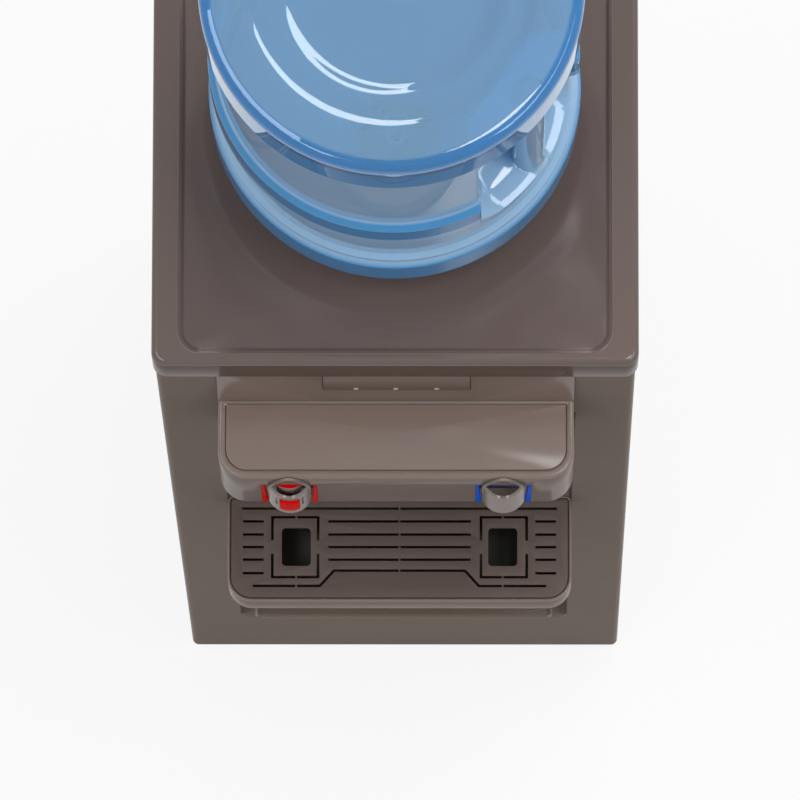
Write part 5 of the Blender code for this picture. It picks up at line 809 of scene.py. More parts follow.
# %% The front panel
panel_low, panel_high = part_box("front_panel")
nose_low, nose_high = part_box("nose_housing")
PANEL_EDGE, PANEL_SHEET, FOLD = 5.0 * MM, 2.5 * MM, 1.3 * MM
CHANNEL_DEPTH, CHANNEL_CORNER, CHANNEL_FOOT = 15.0 * MM, 15.0 * MM, 112.4 * MM
CHANNEL_HALF = nose_high.x + 0.3 * MM
CHANNEL_PAST, ROUND_STEP, ROUND_SPAN, ROUND_PAST = 200 * MM, 0.6 * MM, 9 * MM, 3 * MM
SIDE_STEP, RISE_STEP, FOLD_IN = 4 * MM, 60 * MM, 2 * MM
ledge_z = PANEL_FOOT + CHANNEL_FOOT


def packed(start, stop, *places, near=4.0 * MM, fine=0.35 * MM, wide=12.0 * MM):
    """Places from start to stop, far apart except within a short way of the named ones."""
    made = [np.linspace(start, stop, max(int(abs(stop - start) / wide), 2) + 1)]
    made += [np.arange(place - near, place + near, fine) for place in places]
    return np.unique(np.clip(np.concatenate(made), start, stop))


half, flat_half = panel_high.x, panel_high.x - PANEL_EDGE
rounds = about(0, CHANNEL_HALF - CHANNEL_CORNER / 2)
across = np.unique(np.concatenate([
    packed(-flat_half, flat_half, *about(0, CHANNEL_HALF)),
    packed(-flat_half, flat_half, *rounds, near=ROUND_SPAN, fine=ROUND_STEP),
]))
side_line = np.array([[-half, panel_high.y], [-half, panel_low.y + PANEL_EDGE + SIDE_STEP]])
corner = np.array(top_edge(PANEL_EDGE, 0)[:-1]) * (1, -1) + (-half, panel_low.y)
left = np.concatenate([side_line, corner])
front_line = np.stack([across, np.full(len(across), panel_low.y)], 1)
plan = np.concatenate([left, front_line, left[::-1] * (-1, 1)])
rise = packed(panel_low.z, panel_high.z, ledge_z, wide=RISE_STEP)
corner_rows = np.arange(ledge_z, ledge_z + CHANNEL_CORNER + ROUND_PAST, ROUND_STEP)
level = np.unique(np.concatenate([rise, corner_rows]))[:, None]
channel_top = panel_high.z + CHANNEL_PAST
middle, reach = (ledge_z + channel_top) / 2, (channel_top - ledge_z) / 2
channel_half = np.where(level > nose_low.z + FOLD_IN, CHANNEL_HALF - FOLD, CHANNEL_HALF)
distance = box_distance(plan[:, 0], level - middle, channel_half, reach, CHANNEL_CORNER)
depth = plan[:, 1] + CHANNEL_DEPTH * eased(distance, FOLD)
sheet = np.stack([plan[:, 0] + 0 * level, depth, level + 0 * plan[:, 0]], -1)
front_panel = thick("front_sheet", sheet, PANEL_SHEET)
dress(front_panel, "panel_plastic", "cabinet", "front_panel", crease=30)

# %% [markdown]
# ## The housing of the taps
#
# The housing is a glossy shell with large rounded corners: a shelf, a drop face that the taps
# stand in, and above the shelf a face that leans back and carries the display. Two plain forms
# fused make the outside; the same two, a wall smaller, hollow it out.

# %% The housing shell
DISPLAY_LEAN, NOSE_CORNER, SHELF_EDGE, NOSE_WALL = 5.0 * MM, 20.0 * MM, 2.4 * MM, 2.5 * MM
NOTCH_HALF, NOTCH_DEEP, OVER, HAIR = 20.0 * MM, 39.0 * MM, 4.0 * MM, 0.3 * MM
PLATE_CORNER, PLATE_REAR, PLATE_EDGE = 15.0 * MM, 1.0 * MM, 0.5 * MM
GROOVE, GROOVE_DEEP, GROOVE_REAR = 0.7 * MM, 1.2 * MM, 1.5 * MM
SHARP, NOSE_SOFT, UPPER_RISE, LEAN_TOP = 0.1 * MM, 0.35 * MM, 10 * MM, 1010 * MM
plate_low, plate_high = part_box("nose_top_plate")
window_low, window_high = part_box("display_window")
trim_low, trim_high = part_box("hot_tap_trim")
SHELF = plate_low.z - HAIR
TAP_X = -(trim_low.x + trim_high.x) / 2


def nose_form(name, inset, back):
    """Lower block and leaning upper block, both drawn in by an inset, as one solid."""
    half, front, radius = nose_high.x - inset, nose_low.y + inset, NOSE_CORNER - inset
    foot, shelf, top = nose_low.z + inset, SHELF - inset, nose_high.z - inset
    soft = max(SHELF_EDGE - inset, SHARP)
    rings = [
        plan_ring(half - i, front + i, back, radius - i, SHARP, z, 20)
        for i, z in foot_edge(soft, foot, 2) + top_edge(soft, shelf)
    ]
    lower = surface(name, capped(rings))
    rows = [(DISPLAY_LEAN, foot + UPPER_RISE), (DISPLAY_LEAN, shelf), (0, top)]
    front = panel_low.y + inset
    rings = [plan_ring(half, front - lean, back, SHARP, SHARP, z, 2) for lean, z in rows]
    return carve(lower, surface(name + "_upper", capped(rings)), operation="UNION")


nose = nose_form("tap_housing", 0, nose_high.y)
carve(nose, nose_form("hollow", NOSE_WALL, nose_high.y + OVER))
deep = (nose_low.y - OVER, nose_low.y + NOTCH_DEEP)
tall = (nose_low.z - OVER, trim_high.z + HAIR)
for side in (-1, 1):
    carve(nose, surface("notch", box(about(side * TAP_X, NOTCH_HALF), deep, tall)))
across = (window_low.x - 1.5 * HAIR, window_high.x + 1.5 * HAIR)
deep = (panel_low.y - 3 * OVER, panel_low.y + OVER)
opening = box(across, deep, (window_low.z - HAIR / 2, window_high.z + HAIR))
carve(nose, surface("display_opening", opening))
groove = []
for out, level in ((GROOVE, -1), (GROOVE, 1), (-GROOVE, 1), (-GROOVE, -1)):
    half, front, back = plate_high.x + out, plate_low.y - out, plate_high.y + out
    height = SHELF + level * GROOVE_DEEP
    groove.append(plan_ring(half, front, back, PLATE_CORNER + out, GROOVE_REAR + out, height, 16))
carve(nose, surface("groove", groove, loop=True))
soften(nose, NOSE_SOFT)
dress(nose, "nose_plastic", "cabinet", "nose_housing", crease=30)

# %% [markdown]
# A thin plate lies on the shelf, its edge a hair above it, so that a fine bright line runs round
# it. The display is a flat window in the leaning face with a hairline gap, and three small
# indicator marks near its lower edge.

# %% The shelf plate and the display window
MARKS, MARK_RISE, MARK_HALF = (-28.2 * MM, 0.0, 29.1 * MM), 3.5 * MM, 1.9 * MM
MARK_PROUD, MARK_DOME = 1.3 * MM, 0.4 * MM
GLASS_PROUD, GLASS_DEEP, GLASS_EDGE = 0.6 * MM, 2.0 * MM, 0.15 * MM
rows = [(SHARP, plate_low.z), (0, plate_low.z + SHARP), *top_edge(PLATE_EDGE, plate_high.z, 4)]
rings = []
for i, z in rows:
    half, front, back = plate_high.x - i, plate_low.y + i, plate_high.y - i
    rings.append(plan_ring(half, front, back, PLATE_CORNER - i, PLATE_REAR - i, z, 16))
plate = surface("shelf_plate", capped(rings))
dress(plate, "nose_plastic", "cabinet", "nose_top_plate", crease=50)


def lean_y(level):
    """Y of the leaning display face at a height."""
    top = PANEL_FOOT + LEAN_TOP
    return panel_low.y - DISPLAY_LEAN * (top - level) / (top - SHELF)


across, tall = (window_low.x, window_high.x), (window_low.z, window_high.z)
glass = box(across, (-GLASS_PROUD, GLASS_DEEP), tall, GLASS_EDGE, 2)
glass[..., 1] += lean_y(glass[..., 2])
window = surface("display_glass", glass)
dress(window, "nose_plastic", "cabinet", "display_window", crease=30)
turn = quarter(4)
dome = [MARK_HALF * np.cos(turn), MARK_DOME * (1 - np.sin(turn)) - MARK_PROUD]
dome = np.concatenate([[(MARK_HALF, 0)], np.stack(dome, 1)])
mark_z = window_low.z + MARK_RISE
lights = [capped(turned(dome, (x, lean_y(mark_z), mark_z), 24, "Y")) for x in MARKS]
lights = surface("indicator_lights", *lights)
dress(lights, "nose_plastic", "cabinet", crease=50, look=lens_abs)

# %% [markdown]
# Each tap stands in a notch of the housing, framed by a coloured strip down each side and across
# the top: red for hot, blue for cold. The strips widen towards the foot. The frame is one block
# with a tapered opening cut through it, and its edges are rounded as a mould leaves them.

# %% The coloured frames of the taps
FRAME_TOP, FRAME_FOOT, FRAME_SOFT = 2.0 * MM, 4.0 * MM, 0.4 * MM
TAPS = (("hot", -1, "red_plastic"), ("cold", 1, "blue_plastic"))
half_trim = (trim_high.x - trim_low.x) / 2
tall = (trim_low.z, trim_high.z)
for label, side, slot in TAPS:
    middle = side * TAP_X
    strips = box(about(middle, half_trim), (trim_low.y, trim_high.y), tall)
    strips = surface(f"{label}_frame", strips)
    foot = [(x, trim_low.z - OVER) for x in about(middle, half_trim - FRAME_FOOT)]
    top = [(x, trim_high.z - FRAME_TOP) for x in about(middle, half_trim - FRAME_TOP)]
    opening = slab(foot + top[::-1], trim_low.y - OVER, trim_high.y + OVER, "Y")
    soften(carve(strips, surface("opening", opening)), FRAME_SOFT, 3)
    dress(strips, slot, "cabinet", f"{label}_tap_trim", crease=30)

# %% [markdown]
# The lever is a thin tongue, bowed forwards like a lens, with a rim that dips in the middle. From
# its two tips a flat arch rises against the housing, so that from above the lever looks like a
# ring. Cup and lever meet there. Two ears with pins carry it, and a forked yoke lifts the valve's
# stem. The bow is a circle's arc, and rim and arch are parabolas through the tips.

# %% The levers' tongue and arch
LEVER_HALF, LEVER_BULGE, LEVER_WALL = 15.25 * MM, 7.5 * MM, 2.0 * MM
LEVER_DIP, ARCH_RISE, FOOT_CORNER, ARCH_ROOT = 12.0 * MM, 23.5 * MM, 12.5 * MM, 2.0 * MM
lever_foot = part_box("cold_lever")[0].z
BACK = nose_low.y - HAIR
TIP = trim_high.z + HAIR + 1.0 * MM


def bow(across, wall=0.0):
    """Y of the tongue's front, or of the curve a wall behind it: an arc over a chord, sqrt(R^2 -
    x^2) - (R - rise) before the back, with R = (half^2 + rise^2) / (2 rise)."""
    half, rise = LEVER_HALF - wall, LEVER_BULGE - wall
    radius = (half ** 2 + rise ** 2) / (2 * rise)
    return BACK - (np.sqrt(radius ** 2 - across ** 2) - (radius - rise))


def tongue(name, middle):
    """Bowed sheet from the foot, with rounded corners, up to the dipping rim."""
    share = np.linspace(-1, 1, 57)
    rim = TIP - LEVER_DIP * (1 - share ** 2)
    past = np.maximum(np.abs(LEVER_HALF * share) - (LEVER_HALF + HAIR - FOOT_CORNER), 0)
    foot = lever_foot + FOOT_CORNER - np.sqrt(FOOT_CORNER ** 2 - past ** 2)
    rise = foot + (rim - foot) * np.linspace(0, 1, 21)[:, None]
    sides = []
    for wall in (0, LEVER_WALL):
        across = share * (LEVER_HALF - wall)
        points = middle + across, bow(across, wall), rise
        sides.append(np.stack(np.broadcast_arrays(*points), -1))
    return walled(name, *sides)


def arch(middle, wall):
    """Flat band: z = tip + rise (1 - s^2) over x = half s, and the same curve a wall lower."""
    share = np.linspace(-1, 1, 57)
    foot = [TIP - ARCH_ROOT]
    curves = []
    for drop in (0, LEVER_WALL):
        across = share[[0, *range(57), -1]] * (LEVER_HALF - drop)
        rise = np.concatenate([foot, TIP + (ARCH_RISE - drop) * (1 - share ** 2), foot])
        rows = [np.stack([middle + across, 0 * across + y, rise], -1) for y in (BACK - wall, BACK)]
        curves.append(np.array(rows))
    return walled("arch", *curves)


# %% [markdown]
# Ears, pins and yoke are hidden in the notch, but they show from below and when a lever swings.

# %% The two levers
EAR, PIN, PIN_REACH, FORK = 6.0 * MM, 1.5 * MM, 19.4 * MM, 5.8 * MM
YOKE_THICK, YOKE_RISE, YOKE_FRONT, YOKE_BACK = 2.5 * MM, 0.5 * MM, 2.7 * MM, 12.5 * MM
WINDOW_GROOVE, GROOVE_HALF, GROOVE_SUNK = 9.4 * MM, 0.5 * MM, 1.1 * MM
GROOVE_TALL = (0.890, 0.912)
PIVOT_REACH, PIVOT_RISE, STEM_REACH, LEVER_SOFT = 55.0 * MM, 47.4 * MM, 43.0 * MM, 0.45 * MM
pivot_y, pivot_z = panel_low.y - PIVOT_REACH, nose_low.z + PIVOT_RISE
stem_y = panel_low.y - STEM_REACH
button_low, button_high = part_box("hot_safety_button")
half_turn = np.radians(np.linspace(-90, 90, 17))
ear = np.stack([pivot_y + EAR * np.cos(half_turn), pivot_z + EAR * np.sin(half_turn)], 1)
root = [[(BACK - 0.4 * LEVER_WALL, z)] for z in about(pivot_z, EAR)]
ear = np.concatenate([root[0], ear, root[1]])
yoke_tall = (pivot_z + YOKE_RISE, pivot_z + YOKE_RISE + YOKE_THICK)
fork_deep = (stem_y - FORK / 2, pivot_y + YOKE_BACK + MM)
fork_tall = (yoke_tall[0] - MM, yoke_tall[1] + MM)
middle_wall = LEVER_HALF - LEVER_WALL / 2
for label, side, slot in TAPS:
    middle = side * TAP_X
    lever = tongue(f"{label}_push_lever", middle)
    parts = [arch(middle, 0.9 * LEVER_WALL)]
    for end in (-1, 1):
        near, far = sorted(middle + end * reach for reach in (LEVER_HALF - LEVER_WALL, LEVER_HALF))
        parts.append(surface("ear", slab(ear, near, far, "X")))
        near, far = sorted((end * middle_wall, end * PIN_REACH))
        pin = turned([(PIN, near), (PIN, far)], (middle, pivot_y, pivot_z), 24, "X")
        parts.append(surface("pin", capped(pin)))
    across, deep = about(middle, middle_wall), (pivot_y + YOKE_FRONT, pivot_y + YOKE_BACK)
    yoke = surface("yoke", box(across, deep, yoke_tall))
    fork = surface("fork", box(about(middle, FORK / 2), fork_deep, fork_tall))
    carve(lever, *parts, carve(yoke, fork), operation="UNION")
    if label == "hot":
        across, tall = [
            (low - HAIR, high + HAIR) for low, high in zip(button_low.xz, button_high.xz)
        ]
        deep = (BACK - LEVER_BULGE - OVER, BACK - HAIR)
        carve(lever, surface("window", box(across, deep, tall)))
        face = bow(WINDOW_GROOVE)
        for end in (-1, 1):
            across = about(middle + end * WINDOW_GROOVE, GROOVE_HALF)
            groove = box(across, (face - MM, face + GROOVE_SUNK), GROOVE_TALL)
            carve(lever, surface("groove", groove))
    soften(lever, LEVER_SOFT, 3, 50)
    body, node = f"{label}_lever_body", f"{label}_lever"
    dress(lever, "nose_plastic", body, node, crease=40, look=lever_abs)

# %% [markdown]
# Only the hot tap has a child lock: a red button in the lever that has to be pressed first. It
# slides on a stud into a cylinder behind the tongue, whose red top shows inside the ring.

# %% The red button and its guide
BUTTON_PROUD, BUTTON_SOFT, GUIDE_SOFT = 1.2 * MM, 0.5 * MM, 0.3 * MM
STUD, STUD_BACK, STUD_ENDS = 2.0 * MM, 5.5 * MM, (-2 * MM, 5 * MM)
BORE, BORE_REACH, RIB_DEEP = 2.4 * MM, 8.0 * MM, (-2.9 * MM, 1.5 * MM)
GUIDE_RADIUS, GUIDE_HALF, GUIDE_BACK, GUIDE_FRONT = 15.0 * MM, 9.3 * MM, 2.2 * MM, 1.5 * MM
GUIDE_TOP, PLUG_THICK, RIB_PLACE, RIB_HALF = 0.9281, 1.5 * MM, 8.75 * MM, 0.45 * MM
PLUG_ROWS = np.array([(0, 1.4), (0, 0.4), (0.12, 0.12), (0.4, 0)])
middle = -TAP_X
across = np.linspace(-1, 1, 17) * (button_high.x - button_low.x) / 2
rise = np.linspace(button_low.z, button_high.z, 5)[:, None]
sides = [
    np.stack(np.broadcast_arrays(middle + across, y, rise), -1)
    for y in (bow(across) - BUTTON_PROUD, bow(across, LEVER_WALL))
]
button = walled("child_lock_button", *sides)
stud_z = (button_low.z + button_high.z) / 2
stud = [(STUD, end) for end in STUD_ENDS]
stud = capped(turned(stud, (middle, BACK - STUD_BACK, stud_z), 24, "Y"))
carve(button, surface("stud", stud), operation="UNION")
soften(button, BUTTON_SOFT, 3)
dress(button, "red_plastic", "hot_button_body", "hot_safety_button", crease=40)


def guide_plan(inset):
    """Arc in front and a straight back, drawn in by an inset."""
    half = GUIDE_HALF - inset
    across = np.linspace(-1, 1, 25) * half
    front = BACK - GUIDE_FRONT + inset + GUIDE_RADIUS - np.sqrt(GUIDE_RADIUS ** 2 - across ** 2)
    back = BACK + GUIDE_BACK - inset
    return np.concatenate([np.stack([middle + across, front], 1),
                           [(middle + half, back), (middle - half, back)]])


guide_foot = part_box("hot_button_guide")[0].z
guide = surface("lock_guide", slab(guide_plan(0), guide_foot, GUIDE_TOP - PLUG_THICK))
deep = [BACK + reach for reach in RIB_DEEP]
for end in (-1, 1):
    across = about(middle + end * RIB_PLACE, RIB_HALF)
    rib = surface("rib", box(across, deep, (button_low.z, button_high.z)))
    carve(guide, rib, operation="UNION")
bore = [(BORE, end) for end in about(0, BORE_REACH)]
bore = turned(bore, (middle, BACK, stud_z), 24, "Y")
carve(guide, surface("bore", capped(bore)))
soften(guide, GUIDE_SOFT)
dress(guide, "grey_plastic", "hot_lever_body", "hot_button_guide", crease=40)
rings = []
for inset, down in PLUG_ROWS * MM:
    plan = guide_plan(inset)
    rings.append(np.column_stack([plan, np.full(len(plan), GUIDE_TOP - down)]))
dress(surface("lock_plug", capped(rings)), "red_plastic", "hot_lever_body", crease=50)

# %% [markdown]
# ## The drip tray
#
# The tray is a shallow basin that hangs in front of the channel, with large corners in front. Its
# section goes round the plan: up the outside, over a rounded rim, down to the ledge that the grid
# rests on, and into the basin. A black sheet on the basin's floor is painted shade: it makes the
# grid's windows dark.

# %% The tray
tray_low, tray_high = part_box("drip_tray")
grid_low, grid_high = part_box("drip_grid")
TRAY_FRONT, TRAY_REAR, RIM, LEDGE, TRAY_WALL = 18.0 * MM, 4.5 * MM, 1.9 * MM, 2.5 * MM, 1.8 * MM
TRAY_FOOT, SHARPEST, SOFT = 2.5 * MM, 1.2 * MM, 0.5 * MM
SHADE_SHEET_ROWS = np.array([(0.4, 0), (0.4, 0.6), (0.6, 0.8)])
SEAT = grid_low.z - HAIR


def tray_ring(inset, level):
    """Ring of the tray's plan, drawn in by an inset."""
    near, far = TRAY_FRONT - inset, max(TRAY_REAR - inset, SHARPEST)
    front, back = tray_low.y + inset, tray_high.y - inset
    return plan_ring(tray_high.x - inset, front, back, near, far, level, 16)


basin = RIM + LEDGE + TRAY_WALL
rows = foot_edge(TRAY_FOOT, tray_low.z, 5) + top_edge(RIM / 2, tray_high.z, 5)
rows += [(RIM - inset, tray_high.z - drop) for inset, drop in foot_edge(RIM / 2, 0, 5)[1:]]
rows += [(RIM, SEAT), (RIM + LEDGE - SOFT, SEAT), (RIM + LEDGE, SEAT - SOFT)]
for a in quarter(5):
    rows.append((basin - TRAY_WALL * math.cos(a), tray_low.z + TRAY_WALL * (2 - math.sin(a))))
tray = surface("drip_basin", capped([tray_ring(*row) for row in rows]))
dress(tray, "nose_plastic", "tray_body", "drip_tray", crease=45)
# Painted shade: a black sheet on the basin's floor darkens the grid's windows.
rows = [(basin + inset, tray_low.z + TRAY_WALL + rise) for inset, rise in SHADE_SHEET_ROWS * MM]
shade_sheet = surface("basin_shade_sheet", capped([tray_ring(*row) for row in rows]))
dress(shade_sheet, "black_plastic", "tray_body", crease=45)

# %% [markdown]
# The grid is a plate with a maze of narrow slots and two rounded windows. Every slot is a box, so
# a list of places and sizes holds the pattern of one half, and a mirrored copy gives the other.
# Places are given as x and as reach from the cabinet's front, in millimetres.

# %% The pattern of the grid
SLOT, BRIDGE = 1.0, 0.6
ROWS, BACK_ROW, LAST_ROW, BEND_ROW, FRONT_ROW = (20.2, 30.2, 39.7, 49.3), 10.5, 59.5, 57.6, 69.2
FRAME_X, FRAME_ROWS, FRAME_MIDDLE, FRAME_GAP = (60.6, 94.6), (17.0, 62.5), (76.8, 39.75), 5.0
WINDOW, WINDOW_CORNER = ((66.0, 87.6), (25.2, 54.1)), 3.0
lines = [((BRIDGE, 117.2), BACK_ROW)]
lines += [((BRIDGE, 53.0), row) for row in ROWS]
lines += [((101.0, 116.5), row) for row in (*ROWS, LAST_ROW)]
lines += [((BRIDGE, 48.7), BEND_ROW), ((59.1, 76.2), FRONT_ROW), ((77.4, 109.0), FRONT_ROW)]
slots = [(ends, about(row, SLOT)) for ends, row in lines]
for upright, inward in zip(FRAME_X, (1, -1)):
    for row, turn_in in zip(FRAME_ROWS, (1, -1)):
        ends = (upright - inward * SLOT, FRAME_MIDDLE[0] - inward * BRIDGE)
        reach = (row - turn_in * SLOT, FRAME_MIDDLE[1] - turn_in * FRAME_GAP)
        slots += [(ends, about(row, SLOT)), (about(upright, SLOT), reach)]
bend = [(48.2, BEND_ROW - SLOT), (49.2, BEND_ROW - SLOT), (59.6, FRONT_ROW - SLOT),
        (59.6, FRONT_ROW + SLOT), (58.6, FRONT_ROW + SLOT), (48.2, BEND_ROW + SLOT)]
print("slots on each side:", len(slots))

# %% The grid
GRID_GAP, GRID_EDGE, GRID_FOOT, GRID_SOFT = 0.6 * MM, 0.6 * MM, 0.3 * MM, 0.25 * MM
rows = [(GRID_FOOT, grid_low.z), (0, grid_low.z + GRID_FOOT)]
rows += top_edge(GRID_EDGE, grid_high.z, 5)
grid = capped([tray_ring(RIM + GRID_GAP + inset, level) for inset, level in rows])
grid = surface("slotted_grid", grid)
tall = (grid_low.z - MM, grid_high.z + MM)
for side in (-1, 1):
    to_plan = np.array((side, -1)) * MM
    cutters = []
    for ends, reach in slots:
        x, y = (np.array((ends, reach)).T * to_plan + (0, panel_low.y)).T
        cutters.append(surface("slot", box(x, y, tall)))
    cutters.append(surface("bend", slab(bend * to_plan + (0, panel_low.y), *tall)))
    across, reach = np.array(WINDOW) * MM
    corner = WINDOW_CORNER * MM
    front, back = panel_low.y - reach[1], panel_low.y - reach[0]
    hole = plan_ring((across[1] - across[0]) / 2, front, back, corner, corner, 0, 6)
    hole = hole[:, :2] + (side * across.mean(), 0)
    cutters.append(surface("window", slab(hole, *tall)))
    carve(grid, *cutters)
soften(grid, GRID_SOFT)
dress(grid, "dark_grid_plastic", "grid_body", "drip_grid", crease=30)

# %% [markdown]
# ## Sides, back and feet
#
# Folded sheet steel has no sharp edges: every fold has a radius near the sheet's own thickness. A
# panel that is right but for that is copied from its solid. The copy's triangles are merged, flat
# ones are joined, and every edge gets the radius of its fold.

# %% Panels with folded edges


def refined(node, name, width, segments=3, angle=40):
    """Copy of a solid: its doubles merged, its flat triangles joined, its edges rounded."""
    shape = bmesh.new()
    shape.from_mesh(frame["nodes"][node].data)
    bmesh.ops.remove_doubles(shape, verts=shape.verts, dist=1e-6)
    flat = math.radians(1)
    bmesh.ops.dissolve_limit(shape, angle_limit=flat, verts=shape.verts, edges=shape.edges)
    mesh = bpy.data.meshes.new(name)
    shape.to_mesh(mesh)
    shape.free()
    return soften(put(name, mesh), width, segments, angle)


for node, name, fold, slot, crease in (
    ("side_panel_left", "left_side_sheet", (0.5 * MM, 3), "painted_steel", 25),
    ("side_panel_right", "right_side_sheet", (0.5 * MM, 3), "painted_steel", 25),
    ("base_pan", "base_tray_sheet", (0.6 * MM, 3), "painted_steel", 35),
    ("tray_holder", "tray_bracket", (0.8 * MM, 3), "panel_plastic", 35),
    ("rear_panel", "rear_sheet", (0.25 * MM, 2), "painted_steel", 25),
):
    dress(refined(node, name, *fold), slot, "cabinet", node, crease=crease)

# %% [markdown]
# The rear sheet has a row of louvres low down, where the warm compressor needs air. Each is
# pressed from the sheet, so a curved hood stands over each opening and dies away at its ends. A
# hood is a quarter ellipse across, times a share that falls to nothing near both ends.

# %% The rear sheet's louvres
LOUVRES, LOUVRE_PITCH, LOUVRE_LOW, LOUVRE_HIGH = 8, 16.0 * MM, 70.0 * MM, 6.0 * MM
LOUVRE_INSET, HOOD_OFF, HOOD_PROUD, HOOD_WALL, HOOD_OVER = np.array((86, 0.1, 4.5, 0.7, 3)) * MM
rear_low, rear_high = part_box("rear_panel")
share = np.linspace(-1, 1, 61)
taper = np.sqrt(np.clip(1 - np.abs(share) ** 14, 0, 1))
across = (rear_high.x - LOUVRE_INSET) * share
turn = quarter(8)[:, None]
out = rear_high.y + HOOD_OFF + HOOD_PROUD * np.sin(turn) * taper
drop = (HOOD_OVER + LOUVRE_HIGH * 0.8) * (1 - np.cos(turn)) * (0.3 + 0.7 * taper)
for step in range(LOUVRES):
    top = PANEL_FOOT + LOUVRE_LOW + step * LOUVRE_PITCH + LOUVRE_HIGH + HOOD_OVER
    sheet = np.stack([across + 0 * out, out, top - drop], -1)
    hood = thick(f"louvre_hood_{step + 1}", sheet, HOOD_WALL)
    dress(hood, "painted_steel", "cabinet", crease=50)

# %% [markdown]
# The condenser is what makes the back of such a cooler recognisable: one tube that winds to and
# fro, with a comb of thin upright wires welded across it in front and behind. The tube is a circle
# carried along a path of straight runs and half-circle bends.

# %% The condenser
RUNS, PITCH, TUBE, COIL_HALF, BEND_OUT = 11, 42.0 * MM, 3.0 * MM, 127.0 * MM, 10.0 * MM
COIL_INSIDE, WIRE, WIRE_GAP, WIRE_PAST, WIRE_IN = np.array((8, 0.8, 8, 9, 2)) * MM
STRAP_IN, STRAP_WIDE, STRAP_PAST, STRAP_SOFT = np.array((82, 3, 12, 0.6)) * MM
FOOT_IN, FOOT_PAST, FOOT_HIGH, FOOT_SOFT = np.array((8, 6, 1.4, 0.5)) * MM
cond_low, cond_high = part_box("condenser")
cond_y, inside_y = cond_high.y - TUBE, rear_low.y - COIL_INSIDE
high_run = cond_low.z + (cond_high.z - cond_low.z) / 2 + PITCH * (RUNS - 1) / 2
low_run = high_run - (RUNS - 1) * PITCH
into = [(COIL_HALF + BEND_OUT, inside_y)]
into += [
    (COIL_HALF + BEND_OUT * math.cos(a), cond_y - BEND_OUT * (1 - math.sin(a))) for a in quarter(8)
]
route = [(x, y, high_run) for x, y in into]
for run in range(RUNS - 1):
    side, middle = 2 * (run % 2) - 1, high_run - (run + 0.5) * PITCH
    for a in np.radians(np.linspace(90, -90, 17)):
        x = side * (COIL_HALF - PITCH / 2 + PITCH / 2 * math.cos(a))
        route.append((x, cond_y, middle + PITCH / 2 * math.sin(a)))
route += [(-x, y, low_run) for x, y in into[::-1]]
coil = surface("condenser_coil", tube(route, TUBE, 16))
dress(coil, "black_steel", "cabinet", "condenser", crease=60)
reach = COIL_HALF - PITCH / 2 - WIRE_IN
wires = []
for y in about(cond_y, TUBE + 0.5 * WIRE):
    for x in np.arange(-reach, reach + MM, WIRE_GAP):
        wires.append(tube([(x, y, low_run - WIRE_PAST), (x, y, high_run + WIRE_PAST)], WIRE, 6))
dress(surface("condenser_wires", *wires), "black_steel", "cabinet", crease=60)
sheet_y = rear_high.y + HAIR
straps = []
for side in (-1, 1):
    near, far = sorted((side * STRAP_IN, side * (STRAP_IN + STRAP_WIDE)))
    tall = (low_run - STRAP_PAST, high_run + STRAP_PAST)
    straps.append(box((near, far), (sheet_y, cond_y - TUBE / 2), tall, STRAP_SOFT))
    for z in (low_run - FOOT_IN, (low_run + high_run) / 2, high_run + FOOT_IN):
        across, deep = (near - FOOT_PAST, far + FOOT_PAST), (sheet_y, rear_high.y + FOOT_HIGH)
        straps.append(box(across, deep, about(z, FOOT_PAST), FOOT_SOFT))
dress(surface("condenser_straps", *straps), "black_steel", "cabinet", crease=50)

# %% [markdown]
# Zinc-plated cross-recess screws hold the rear sheet. A pan head is a turned profile; the cross is
# cut by two crossed boxes.

# %% Screws
HEAD, HEAD_HIGH, HEAD_EDGE, HEAD_FLAT = 3.6 * MM, 2.0 * MM, 0.5 * MM, 0.3 * MM
RECESS, RECESS_WIDE, RECESS_DEEP, SCREW_INSET, HEAD_OFF = np.array((3.8, 0.9, 1.1, 8, 0.05)) * MM
SCREW_LEVELS = (0.04, 0.28, 0.44, 0.70, 0.95, 1.008)
head = [(HEAD, 0)]
for a in quarter(7)[:-1]:
    head.append((HEAD * math.cos(a), HEAD_EDGE + (HEAD_HIGH - HEAD_EDGE) * math.sin(a)))
head.append((HEAD_FLAT, HEAD_HIGH))
top = rear_high.y + HEAD_HIGH
heads, crosses = [], []
for z in SCREW_LEVELS:
    for x in about(0, rear_high.x - SCREW_INSET):
        heads.append(capped(turned(head, (x, rear_high.y + HEAD_OFF, z), 24, "Y")))
        for wide, tall in ((RECESS, RECESS_WIDE), (RECESS_WIDE, RECESS)):
            slot = box(about(x, wide / 2), (top - RECESS_DEEP, top + MM), about(z, tall / 2))
            crosses.append(surface("recess", slot))
screws = carve(surface("rear_screws", *heads), *crosses)
dress(screws, "bare_steel", "cabinet", crease=40, look=zinc_steel)

# %% [markdown]
# The drain and the cable gland are small turned fittings, and the feet are turned too. The
# drain's cap is ribbed for the fingers: its radius swings in and out twenty-four times a turn.

# %% Drain, gland and feet
RIBS, RIB_SHARE, RIB_FROM, RIB_BLEND = 24, 0.025, 10.5 * MM, 1.1 * MM
FOOT_CONE, FOOT_DRAFT, FOOT_ROUND, FOOT_RIM, CENTRE = np.array((3, 3.5, 1.5, 0.4, 0.3)) * MM
CASE_SOFT, ROCKER_SOFT = 0.4 * MM, 0.35 * MM


def fitting(name, rows, place, node, count=48, steps=4):
    """Turned black fitting in the rear sheet, from rows of radius, reach and rounding in mm."""
    line = rounded_line(np.array(rows) * MM, steps)
    item = surface(name, turned(line, place, count, "Y"), loop=True)
    dress(item, "black_plastic", "cabinet", node)


def rear_place(node):
    """Middle of a fitting on the rear sheet."""
    low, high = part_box(node)
    return (low.x + high.x) / 2, rear_high.y, (low.z + high.z) / 2


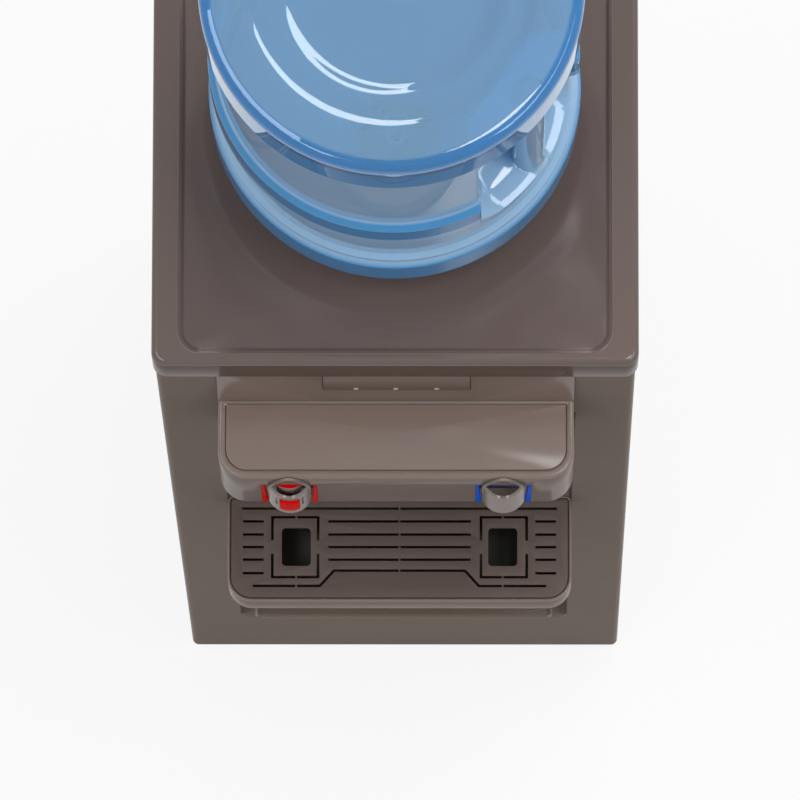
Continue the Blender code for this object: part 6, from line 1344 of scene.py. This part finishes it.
drain = rear_place("drain_cap")
fitting("drain_nozzle", [
    (4.5, -15.5, 0), (9.5, -15.5, 0.6), (9.5, 0.3, 0), (14, 0.3, 0.3), (14, 2.3, 0.5),
    (9.5, 2.3, 0.3), (9.5, 14, 0.6), (4.5, 14, 0)], drain, "drain_spout", steps=3)
cap = [(0.2, 16.1, 0), (11.6, 16.1, 1), (11.6, 2.6, 0.4), (9.8, 2.6, 0.3), (9.8, 14.3, 0.3),
       (0.2, 14.3, 0)]
ribbed = turned(rounded_line(np.array(cap) * MM, 4), (0, 0, 0), 8 * RIBS, "Y")
swing = np.cos(RIBS * np.linspace(0, 2 * np.pi, 8 * RIBS, endpoint=False))
outer_share = (np.hypot(ribbed[..., 0], ribbed[..., 2]) - RIB_FROM) / RIB_BLEND
drawn = 1 - RIB_SHARE * (1 - swing) * np.clip(outer_share, 0, 1)
ribbed *= np.stack([drawn, np.ones_like(drawn), drawn], -1)
cap = surface("ribbed_drain_cap", capped(ribbed + drain))
dress(cap, "black_plastic", "drain_cap_body", "drain_cap")
fitting("cable_gland", [
    (3.8, -7, 0), (8, -7, 0.6), (8, 0.3, 0), (12, 0.3, 0.4), (12, 3.3, 0.8), (9.2, 3.3, 0.3),
    (8, 12, 1.2), (5.2, 12, 0.6), (3.8, 9, 0)], rear_place("cord_gland"), "cord_gland")
for corner in ("front_left", "front_right", "rear_left", "rear_right"):
    low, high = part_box(f"foot_{corner}")
    radius, tall = (high.x - low.x) / 2, high.z
    line = rounded_line([
        (CENTRE, 0, 0), (radius - FOOT_CONE, 0, FOOT_ROUND), (radius, FOOT_DRAFT, FOOT_ROUND),
        (radius, tall, FOOT_RIM), (CENTRE, tall, 0)], 4)
    foot = turned(line, ((low.x + high.x) / 2, (low.y + high.y) / 2, 0), 48)
    dress(surface(f"rubber_{corner}", capped(foot)), "rubber", "cabinet", f"foot_{corner}")

# %% [markdown]
# The two switches are the stock kind: a black case with a lip, and a coloured rocker in it. The
# colour tells which tank each one turns on.

# %% Switches
for label, side, slot in TAPS:
    node = f"{label}_switch_body"
    dress(refined(node, f"{label}_switch_case", CASE_SOFT), "black_plastic", "cabinet", node)
    node = f"{label}_switch_rocker"
    rocker = refined(node, f"{label}_rocker_cap", ROCKER_SOFT, angle=25)
    dress(rocker, slot, f"{label}_rocker_body", node)

# %% [markdown]
# ## The rest of the cabinet
#
# The solids that no new piece stands for keep their shape and take the finish of their material
# slot. Most of them are inside, and show when a panel comes off or a tap's well is looked into.

# %% Finishes for the solids that stay
solids = frame["record"]["subparts"]
for entry in solids:
    materials = frame["nodes"][entry["node"]].data.materials
    materials.clear()
    materials.append(FINISH[entry["material_slot"]])
print("solids dressed:", len(solids))

# %% The size of what is shown
low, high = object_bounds()
print("visual box:", [round(v, 4) for v in high - low])
